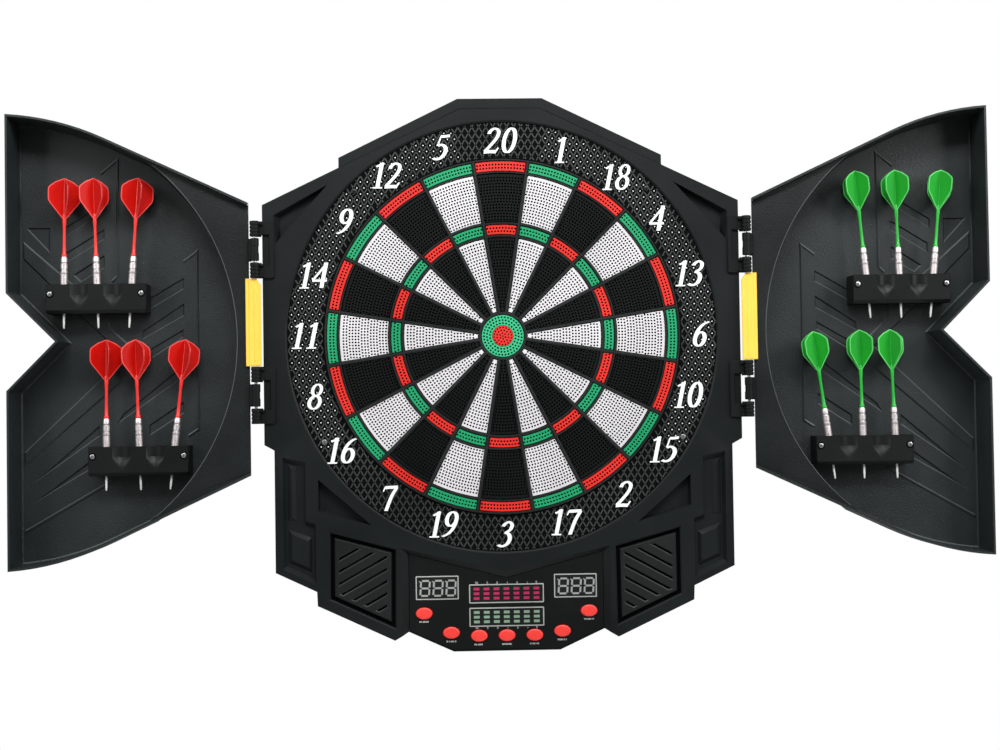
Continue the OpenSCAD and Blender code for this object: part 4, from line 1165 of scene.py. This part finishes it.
cover_seed = screw("cover_screw_seed", 2.8, 1.2, 1.6, 12, backwards=True)
cover_spots = [(s * x, 1.9, z) for s in (-1, 1)
               for x, z in ((45, 212), (205, 100), (205, -85), (205, -205), (98.4, -240), (30, -214))]
settle(fixed("back_cover_screws", cover_seed, cover_spots, screw_steel), "cabinet", "screw_steel", "housing_screws")
ring_seed = screw("ring_screw_seed", 2.6, 1.2, 1.4, 4)
ring_spots = [(194.5 * math.cos(math.radians(a)), 36.9, 194.5 * math.sin(math.radians(a)))
              for a in (45, 135, 210, 330)]
for name, spots, finish in (("upper", ring_spots[:2], black_steel), ("lower", ring_spots[2:], screw_steel)):
    settle(fixed(f"catch_ring_{name}_screws", ring_seed, spots, finish), "cabinet", "black_screw_steel",
           "ring_screws")

# ---- Hinges
# Each door turns on two moulded hinges. The cabinet's leaf has two ribbed knuckles and a window, the door's
# lug has a slimmer middle knuckle, and a steel pin runs through all three.

hinge_plastic = moulded("hinge_plastic", (0.006, 0.0072, 0.0072), 0.5, pebble=1500, depth=0.15, patch=0.2,
                         specular=0.16)
pin_steel = metal("pin_steel", (0.62, 0.62, 0.63), 0.25)
refinish(pin_steel, "hinge_pins")
hinge_x, hinge_out, hinge_spots, hinge_len = -231.0, 43.0, (83.6, -52.6), 53.5

def brick(shape, x, out, z, edge=0.35):
    """a block with bevelled front edges; each argument is its low and high side"""
    middle = ((x[0] + x[1]) / 2, (z[0] + z[1]) / 2)
    shape.plate(oblong(*middle, x[1] - x[0], z[1] - z[0]), [], out[0], out[1], edge)

leaves = Moulding()
for z0 in hinge_spots:
    outline = [(-213.5, z0 - 25.2), (-213.5, z0 + 25.2), (-214.0, z0 + 26.3), (-215.2, z0 + 26.75),
               (-231, z0 + 26.75), (-231, z0 + 12.25), (-225, z0 + 12.25), (-225, z0 + 14), (-218, z0 + 14),
               (-218, z0 - 14), (-225, z0 - 14), (-225, z0 - 12.25), (-231, z0 - 12.25), (-231, z0 - 26.75),
               (-215.2, z0 - 26.75), (-214.0, z0 - 26.3)]
    leaves.plate(outline, [], 38, 40.5, 0.5)
    for s in (-1, 1):
        low = z0 + s * (hinge_len - 14.5) / 2 - 7.25
        profile = [(1.55, low), (3.9, low), (4.4, low + 0.5)]
        for k in range(4):
            ridge = low + 0.6 + 3.5 * k
            profile += [(4.5, ridge + 0.2), (4.5, ridge + 2.2), (3.95, ridge + 2.5), (3.95, ridge + 3.2)]
        profile = profile[:-2] + [(4.4, low + 14.0), (3.9, low + 14.5), (1.55, low + 14.5)]
        lathe(leaves, profile, 28, upright_at(hinge_x, hinge_out))
        brick(leaves, (-229, -223.5), (40.3, 43.2), (low + 1.2, low + 3.4))
        brick(leaves, (-229, -223.5), (40.3, 43.2), (low + 11.1, low + 13.3))
left_leaves = leaves.made("left_hinge_leaf_plates", [hinge_plastic])
settle(left_leaves, "cabinet", "hinge_plastic", "left_hinge_leaves")
settle(other_hand(left_leaves, "right_hinge_leaf_plates"), "cabinet", "hinge_plastic", "right_hinge_leaves")

knuckles = Moulding()
for z0 in hinge_spots:
    lathe(knuckles, [(1.6, z0 - 10.5), (3.7, z0 - 10.5), (4.1, z0 - 10.1), (4.1, z0 - 3.4), (3.7, z0 - 3.1),
                     (3.7, z0 + 3.1), (4.1, z0 + 3.4), (4.1, z0 + 10.1), (3.7, z0 + 10.5), (1.6, z0 + 10.5)], 28,
          upright_at(hinge_x, hinge_out))
    brick(knuckles, (-248, -235), (35, 37.4), (z0 - 10.5, z0 + 10.5))
    brick(knuckles, (-236.9, -232.8), (35.2, 45.3), (z0 - 10.0, z0 + 10.0), 0.8)
left_knuckles = knuckles.made("left_door_hinge_lugs", [hinge_plastic])
settle(left_knuckles, "left_door", "hinge_plastic", "left_door_knuckles")
settle(other_hand(left_knuckles, "right_door_hinge_lugs"), "right_door", "hinge_plastic", "right_door_knuckles")

# ---- Doors
# Each door is one thin moulding in leather-grained black plastic, with a rim on every side but the hinge's.
# Its floor is sunk in a round tray that clears the board, and is patterned with slots, ridges and a chevron.

# the door plastic carries painted glints on its grain
door_plastic = moulded("door_plastic", (0.0145, 0.019, 0.0192), 0.4, pebble=820, depth=0.85, patch=0.16, painted_glint=0.02,
                       specular=0.42)
# a pale copy of the door plastic: painted highlight on up-facing slopes and on the bead
door_painted_highlight = moulded("door_painted_highlight", (0.075, 0.086, 0.086), 0.35, pebble=2000, depth=0.1)
# a darker copy of the door plastic for the flat flange: painted shade; door_plastic on the floor is the lighter copy
door_flange_painted_shade = moulded("door_flange_painted_shade", (0.0062, 0.0082, 0.0083), 0.45, pebble=820, depth=0.6, patch=0.16, painted_glint=0.01,
                    specular=0.3)
rim_front, flange_front, flange_back, tray_front, tray_back = 46.5, 40.5, 37.5, 7.5, 4.5
tray_r, tray_x, skin = 213.0, -462.0, 3.0
sweep_centre, sweep_r = (-475.65, -37.06), 250.0
upper_edge = [(-237, 127.5)]
for k in range(9):
    turn = math.radians(65.0 + (86.64 - 65.0) * k / 8)
    upper_edge.append((sweep_centre[0] + sweep_r * math.cos(turn), sweep_centre[1] + sweep_r * math.sin(turn)))
upper_edge += [(-461, 45.5)]
door_line = upper_edge + [(-416, 0)] + [(x, -z) for x, z in reversed(upper_edge)]

def door_inset(gap):
    return inset(door_line, [gap] * (len(door_line) - 1) + [0.0])

def arc_meeting(line, radius):
    """where the tray's circle crosses the first edge of a door line"""
    (x0, z0), (x1, z1) = line[0], line[1]
    low, high = 0.0, 1.0
    for _ in range(50):
        t = (low + high) / 2
        far = math.hypot(x0 + t * (x1 - x0) - tray_x, z0 + t * (z1 - z0)) > radius
        low, high = (t, high) if far else (low, t)
    return (x0 + low * (x1 - x0), z0 + low * (z1 - z0))

def tray_arc(radius, top, count=44):
    """from the lower meeting point up to the upper one, without its ends"""
    half = math.atan2(top[1], top[0] - tray_x)
    return [(tray_x + radius * math.cos(t), radius * math.sin(t)) for t in
            [-half + 2 * half * k / count for k in range(1, count)]]

def tray_loop(radius, gap):
    line = door_inset(gap)
    top = arc_meeting(line, radius)
    return [top] + line[1:-1] + [(top[0], -top[1])] + tray_arc(radius, top)

def ridge_loop(path, width):
    """an open path thickened to a counter-clockwise outline"""
    path = [np.array(p, float) for p in path]
    left, right = [], []
    for i, p in enumerate(path):
        sides = []
        for a, b in ((i - 1, i), (i, i + 1)):
            if a >= 0 and b < len(path):
                go = path[b] - path[a]
                sides.append(np.array((-go[1], go[0])) / np.hypot(*go))
        mean = sum(sides) / len(sides)
        mean = mean / mean.dot(sides[0]) * width / 2
        left.append(tuple(p + mean))
        right.append(tuple(p - mean))
    return right + left[::-1]

def counter_clockwise(loop):
    area = sum(a[0] * b[1] - b[0] * a[1] for a, b in zip(loop, loop[1:] + loop[:1]))
    return loop if area > 0 else loop[::-1]

sunk = [
    [(-452.4, 110.5), (-429.5, 110.3), (-429.6, 85.9)], [(-378, 134), (-378, 125), (-416.8, 100.4), (-416.8, 110)],
    [(-378, 109), (-378, 99), (-414.5, 76.5), (-414.5, 86.5)], [(-378, 84), (-378, 71.5), (-401, 58), (-408, 65)],
    [(-303, 61.5), (-303, 50.5), (-342.6, 27.2), (-342.6, 38)],
    [(-303, 36.8), (-303, 24.9), (-343.3, 2.2), (-343.3, 10.4)],
    [(-303.8, 12), (-303.8, 4), (-334.8, -15.7), (-334.8, -6)],
    [(-304, -22.5), (-304, -33.5), (-368, -78), (-362, -68)],
    [(-304, -57), (-304, -68), (-337.3, -89.5), (-337.3, -79)],
    [(-384, -78.5), (-384, -88.8), (-448.7, -134.4)], [(-390, -110), (-390, -118.5), (-449.8, -153.5)]]
chevron = [(-455, 98), (-373.4, 25.8), (-373.4, 14.8), (-339, -17), (-405.9, -74.8), (-455, -117.2), (-455, -103),
           (-383.5, -35.4), (-360.2, -13.3), (-376.5, 2), (-405.8, 29.5), (-433.8, 59.4), (-455, 80.6)]
raised = [(chevron, 1.4, 1.3), ([(-455, -181), (-370, -132), (-370, -128.5), (-455, -177)], 0.9, 0.8),
          (ridge_loop([(-381.3, 161.3), (-365, 174.5), (-365.8, 63.5), (-371.3, 58.1)], 3.0), 1.3, 0.9),
          (ridge_loop([(-303.5, 76), (-290.3, 86), (-290.3, -83.5), (-300.2, -90.1)], 3.0), 1.3, 0.9)]

door = Moulding()
outer_top = arc_meeting(door_line, tray_r + skin)
foot_line, mouth = door_inset(2.9), tray_loop(tray_r, 2.9)
foot_end = foot_line[0][1]
outline = ([door_line[0], outer_top] + door_line[1:-1] + [(outer_top[0], -outer_top[1]), door_line[-1],
           (-237, -foot_end - 0.25), (-237, -foot_end), (-237, foot_end), (-237, foot_end + 0.25)])
outline_out = [rim_front - 0.5] * (len(outline) - 4) + [rim_front - 0.5, flange_front - 0.3, flange_front - 0.3,
                                                       rim_front - 0.5]
top_outer, top_inner = ([(min(p[0], -237.3), p[1]) for p in door_inset(gap)] for gap in (0.5, 2.1))
contours = [(outline, outline_out, True), (top_outer + top_inner[::-1], rim_front, True),
            ([foot_line[0], mouth[0]] + foot_line[1:-1] + [(mouth[0][0], -mouth[0][1]), foot_line[-1]],
             [flange_front - 0.3] + [flange_front] * len(foot_line) + [flange_front - 0.3], False),
            ([(mouth[0][0], -mouth[0][1])] + tray_arc(tray_r, mouth[0]) + [mouth[0]], flange_front, False),
            ([(-238, -foot_end + 0.1), (-238, foot_end - 0.1)], flange_front, False),
            (tray_loop(tray_r - 1.4, 3.5), tray_front + 1.4, True), (tray_loop(tray_r - 2.6, 4.7), tray_front, True)]
for shape in sunk:
    shape = counter_clockwise(shape)
    contours += [(shape, tray_front, True), (inset(shape, 1.1), tray_front - 1.5, True)]
for shape, bevel, height in raised:
    shape = counter_clockwise(shape)
    contours += [(shape, tray_front, True), (inset(shape, bevel), tray_front + height, True)]
door.relief(contours, outline)
tray_line = [outer_top] + door_line[1:-1] + [(outer_top[0], -outer_top[1])]
tray_back_arc = tray_arc(tray_r + skin, outer_top)
tray_outer = tray_line + tray_back_arc
tray_foot = inset(tray_outer, 0.6)
n = len(tray_line)
door.wall(door.loop(tray_line, rim_front - 0.5), door.loop(tray_line, tray_back + 0.6), closed=False)
arc_ends = [tray_line[-1]] + tray_back_arc + [tray_line[0]]
door.wall(door.loop(arc_ends, flange_back), door.loop(arc_ends, tray_back + 0.6), closed=False)
door.wall(door.loop(tray_outer, tray_back + 0.6), door.loop(tray_foot, tray_back))
door.relief([(tray_foot, tray_back, True)], tray_foot)
hinge_side = outline[outline.index((outer_top[0], -outer_top[1])):] + [outline[0], outer_top]
hinge_out_levels = outline_out[outline.index((outer_top[0], -outer_top[1])):] + [rim_front - 0.5] * 2
door.wall(door.loop(hinge_side, hinge_out_levels), door.loop(hinge_side, flange_back), closed=False)
flange_loop = hinge_side + tray_back_arc[::-1]
door.relief([(flange_loop, flange_back, True)], flange_loop)
# a thin bead along the tray's mouth, in the pale finish: a painted highlight line
bead = ridge_loop(tray_arc(tray_r + 0.7, (mouth[0][0] - 2, mouth[0][1])), 0.8)
door.ink = 1
door.plate(bead, [], flange_front - 0.3, flange_front + 0.35, 0.2)
# up-facing slopes of the floor pattern take the pale finish as painted highlight where the top light falls
for i, face in enumerate(door.faces):
    corners = [np.array(door.points[k], float) for k in face[:3]]
    outs = [door.points[k][1] for k in face]
    patterned = tray_front - 1.6 < min(outs) and max(outs) < tray_front + 1.5 and max(outs) - min(outs) > 0.3
    facing = np.cross(corners[1] - corners[0], corners[2] - corners[0])
    if patterned and facing[2] < -0.3 * np.linalg.norm(facing):
        door.inks[i] = 1
    elif door.inks[i] == 0 and flange_front - 0.4 < min(outs) and max(outs) < flange_front + 0.1:
        door.inks[i] = 2
# the third finish, the darker copy of the door plastic on the flange, is painted shade
left_door = door.made("left_door_panel", [door_plastic, door_painted_highlight, door_flange_painted_shade], soft=28)
settle(left_door, "left_door", "door_plastic", "left_door")
settle(other_hand(left_door, "right_door_panel"), "right_door", "door_plastic", "right_door")

# ---- Yellow edge strips
# A bright yellow moulded strip is clipped along each door's hinge edge between the two hinges.

strip_yellow = dyed("strip_yellow", (0.87, 0.51, 0.068), 0.4)
strip = Moulding()
strip.plate([(-236.9, -25.4), (-225.5, -25.4), (-225.5, 50.6), (-229.6, 56.4), (-236.9, 56.4)], [], 42, 44, 0.5)
strip.plate([(-239.9, -25.4), (-236.7, -25.4), (-236.7, 56.4), (-239.9, 56.4)], [], 40.5, 43.4, 0.4)
strip.plate(oblong(-231.2, 14, 1.6, 70), [], 43.6, 44.4, 0.3)
left_strip = strip.made("left_yellow_strip", [strip_yellow])
settle(left_strip, "left_door", "strip_yellow", "left_edge_strip")
settle(other_hand(left_strip, "right_yellow_strip"), "right_door", "strip_yellow", "right_edge_strip")

# ---- Dart holders
# Solid-looking moulded blocks with three flat bosses and two flutes, each screwed to the door floor by its
# ends. Three round sockets are open at the top, and a small hole lets each tip through.

holder_plastic = moulded("holder_plastic", (0.0052, 0.0064, 0.0062), 0.46, pebble=1800, depth=0.12, patch=0.2,
                         specular=0.22)
pitch, dart_out, socket_r, tip_hole_r, socket_floor = 31.3, 25.5, 5.8, 3.4, -8.75
holder_spots = {"upper_left": (-381, 40.5), "lower_left": (-342.7, -112.3), "upper_right": (381, 40.5),
                "lower_right": (342.7, -112.3)}
holder_half, holder_top, end_edge = 46.5, 13.75, 0.5
slice_x = sorted({-holder_half, -holder_half + end_edge, holder_half - end_edge, holder_half}
                 | {round(s * pitch / 2 + 8.5 * k / 8, 3) for s in (-1, 1) for k in range(-8, 9)})

def holder_slice(run_out, edge, front):
    """one level of a holder; run_out thins the flutes, edge draws the ends in"""
    points = []
    for x in slice_x:
        dip = max(0.0, 4 - run_out - min((x - s * pitch / 2) ** 2 for s in (-1, 1)) / 18)
        points.append((max(min(x, holder_half - edge), -holder_half + edge),
                       front - edge - dip - (end_edge if abs(x) == holder_half else 0)))
    return [(holder_half - edge, tray_front), *reversed(points), (-holder_half + edge, tray_front)][::-1]

block = Moulding()
levels = [(holder_top, 0, end_edge, 33), (holder_top - end_edge, 0, 0, 33), (4.0, 0, 0, 33), (2.0, 1.2, 0, 33),
          (0.0, 2.15, 0, 33), (-2.0, 2.9, 0, 33), (-4.0, 3.45, 0, 33), (-6.0, 3.8, 0, 33), (-8.6, 4.0, 0, 33),
          (-10.6, 4.0, 0, 33), (-12.9, 4.0, 0, 31.2), (-holder_top, 4.0, end_edge, 30.9)]
slices = [(holder_slice(run, edge, front), z) for z, run, edge, front in levels]
loops = [block.loop(flat, z) for flat, z in slices]
for a, b in zip(loops, loops[1:]):
    block.wall(a, b)
mouths = [circle(socket_r, 28, (x, dart_out)) for x in (-pitch, 0, pitch)]
tips = [circle(tip_hole_r, 28, (x, dart_out)) for x in (-pitch, 0, pitch)]
for (flat, _), level, holes in ((slices[0], holder_top, mouths), (slices[-1], -holder_top, tips)):
    block.relief([(flat, level, True)] + [(hole, level, True) for hole in holes], counter_clockwise(flat), holes)
for m, t in zip(mouths, tips):
    rings = [block.loop(m, holder_top), block.loop(m, socket_floor), block.loop(t, socket_floor),
             block.loop(t, -holder_top)]
    for a, b in zip(rings, rings[1:]):
        block.wall(a, b)
block.points = [(x, z, out) for x, out, z in block.points]
block_points = block.points
seat_ring = [(3.5, 32.9), (3.5, 33.15), (3.3, 33.3), (2.9, 33.3), (2.7, 33.1), (2.7, 32.9)]
for name, (x0, z0) in holder_spots.items():
    block.points = [(x + x0, out, z + z0) for x, out, z in block_points]
    holder = block.made(f"{name}_dart_holder", [holder_plastic], soft=24)
    settle(holder, name.split("_")[1] + "_door", "holder_plastic", f"{name}_holder")

holder_seed = screw("holder_screw_seed", 2.4, 1.2, 1.5, 24)
for side in ("left", "right"):
    spots = [(x0 + s * 42.5, z0 + 4.5) for name, (x0, z0) in holder_spots.items() if side in name for s in (-1, 1)]
    settle(fixed(f"{side}_dart_holder_screws", holder_seed, [(x, 33, z) for x, z in spots], screw_steel),
           f"{side}_door", "screw_steel", f"{side}_holder_screws")
    # the seats round the holder screws are near-black: painted shade round the screw heads
    seats = Moulding()
    for x, z in spots:
        lathe(seats, seat_ring, 28, lambda u, v, w, x=x, z=z: (x + u, w, z + v))
    settle(seats.made(f"{side}_screw_seats", [recess_painted_shade]), f"{side}_door", "holder_plastic",
           f"{side}_holder_screws")

# ---- Darts
# Soft-tip darts: a nylon tip, a knurled plated barrel, a tapered nylon stem and a folded polyester flight with
# four wings. Red ones hang in the left door and green ones in the right.

tip_nylon = moulded("tip_nylon", (0.62, 0.62, 0.6), 0.35, pebble=2200, depth=0.05)
barrel_metal = metal("barrel_metal", (0.86, 0.8, 0.8), 0.46, streak=900)

def flight_finish(name, colour, edge):
    """thin dyed film, painted paler where its wings turn edge-on to the camera, as a glancing sheen"""
    finish, tree, shader = tree_of(name)
    face = node(tree, "ShaderNodeGroup", node_tree=grain)
    for key, value in (("Colour", (*colour, 1)), ("Patch", 0.12), ("Pebble Scale", 900.0), ("Pebble Depth", 0.05),
                       ("Roughness", 0.34)):
        face.inputs[key].default_value = value
    glance = node(tree, "ShaderNodeLayerWeight", {"Blend": 0.22})
    painted_sheen_mix = node(tree, "ShaderNodeMix", data_type="RGBA")
    painted_sheen_mix.inputs["B"].default_value = (*edge, 1)
    joined(tree, face.outputs["Colour"], painted_sheen_mix.inputs["A"])
    joined(tree, glance.outputs["Facing"], painted_sheen_mix.inputs["Factor"])
    joined(tree, painted_sheen_mix.outputs["Result"], shader.inputs["Base Color"])
    joined(tree, face.outputs["Roughness"], shader.inputs["Roughness"])
    joined(tree, face.outputs["Normal"], shader.inputs["Normal"])
    shader.inputs["Specular IOR Level"].default_value = 0.12
    return finish

shades = {
    # each flight's second colour is painted sheen on wings seen edge-on
    "left": (flight_finish("flight_red", (0.52, 0.004, 0.001), (0.36, 0.03, 0.03)),
             dyed("stem_red", (0.72, 0.025, 0.018), 0.35), dyed("rib_red", (0.66, 0.05, 0.045), 0.4)),
    "right": (flight_finish("flight_green", (0.006, 0.3, 0.012), (0.1, 0.42, 0.13)),
              dyed("stem_green", (0.012, 0.36, 0.03), 0.35), dyed("rib_green", (0.1, 0.55, 0.13), 0.4))}
leans = {"left": (0.7, -1.5, 3.9, 0.5, -1.7, 6.3), "right": (-5.1, -1.6, 5.4, -7.6, -0.9, -1.8)}
turns = {"left": (25, 41, 25, 20, 41, 30), "right": (38, 41, 30, 41, 38, 25)}
tip_profile = [(0.1, -27.8), (0.75, -27.3), (1.0, -24.0), (1.15, -10.0), (1.15, -6.0)]
barrel_profile = [(1.2, -8), (2.6, -7.4), (3.3, -5.5), (3.5, -3.0)]
for k in range(15):
    ring_z = 5 + 1.25 * k
    barrel_profile += [(3.5, ring_z), (3.5, ring_z + 0.55), (3.12, ring_z + 0.75), (3.12, ring_z + 1.05)]
barrel_profile += [(3.45, 24.2), (3.45, 26.4), (2.9, 26.9), (2.9, 28.2), (3.3, 28.7), (3.3, 33.2), (2.8, 33.8),
                   (2.8, 34.8), (3.1, 35.3), (3.0, 38.6), (2.5, 40.0)]
stem_profile = [(1.1, 39), (1.95, 39.2), (2.3, 40.0), (2.3, 42.4), (1.8, 43.2), (1.5, 52), (1.35, 66), (1.6, 70),
                (1.8, 72.5), (1.8, 79), (1.3, 80.5)]
wing_edge = [(0.5, 74.5), (13.9, 91.2), (15.0, 93.2), (15.4, 95.4), (15.4, 103.2), (15.0, 105.4), (13.9, 107.0),
             (8.2, 111.2), (0.5, 114.4)]
for side in ("left", "right"):
    film, stem_shade, rib_shade = shades[side]
    spots = [(holder_spots[f"{row}_{side}"][0] + column * pitch, holder_spots[f"{row}_{side}"][1])
             for row in ("upper", "lower") for column in (-1, 0, 1)]
    for number, ((x0, z0), lean, turn) in enumerate(zip(spots, leans[side], turns[side]), 1):
        sin_l, cos_l = math.sin(math.radians(lean)), math.cos(math.radians(lean))
        def dart_axis(u, v, w, x0=x0, z0=z0, sin_l=sin_l, cos_l=cos_l):
            return (x0 + u * cos_l + w * sin_l, dart_out + v, z0 - u * sin_l + w * cos_l)
        dart = Moulding()
        lathe(dart, tip_profile, 12, dart_axis, capped=True)
        dart.ink = 1
        lathe(dart, barrel_profile, 20, dart_axis, capped=True)
        dart.ink = 2
        lathe(dart, stem_profile, 14, dart_axis, capped=True)
        lathe(dart, [(0.7, 80), (0.62, 100), (0.5, 113.6)], 8, dart_axis, capped=True)
        for wing in range(4):
            angle = math.radians(turn + 90 * wing)
            across_u, across_v = math.cos(angle), -math.sin(angle)
            for near, far, thick, ink in ((0.0, 1.0, 0.22, 3), (0.93, 1.0, 0.42, 4)):
                dart.ink = ink
                rings = []
                for t in (-thick, thick):
                    first = len(dart.points)
                    outer = [(w * far, z) for w, z in wing_edge]
                    inner = [(w * near if near else 0.0, z if not near else 94.5 + (z - 94.5) * 0.95)
                             for w, z in wing_edge][::-1] if near else [(0.0, 114.3), (0.0, 74.5)]
                    dart.points += [dart_axis(w * across_u - t * across_v, w * across_v + t * across_u, z)
                                    for w, z in outer + inner]
                    rings.append(list(range(first, len(dart.points))))
                dart.wall(rings[0], rings[1])
                count = len(wing_edge)
                for ring_points in rings:
                    if near:
                        for i in range(count - 1):
                            dart.face((ring_points[i], ring_points[i + 1], ring_points[2 * count - 2 - i],
                                       ring_points[2 * count - 1 - i]))
                    else:
                        dart.face(ring_points)
        name = f"{side}_dart_{number}"
        settle(dart.made(name + "_whole", [tip_nylon, barrel_metal, stem_shade, film, rib_shade], weld=1e-7),
               name, "dart_red" if side == "left" else "dart_green", name)

# ---- The finished object

for seed in (cover_seed, ring_seed, holder_seed):
    bpy.data.objects.remove(seed)
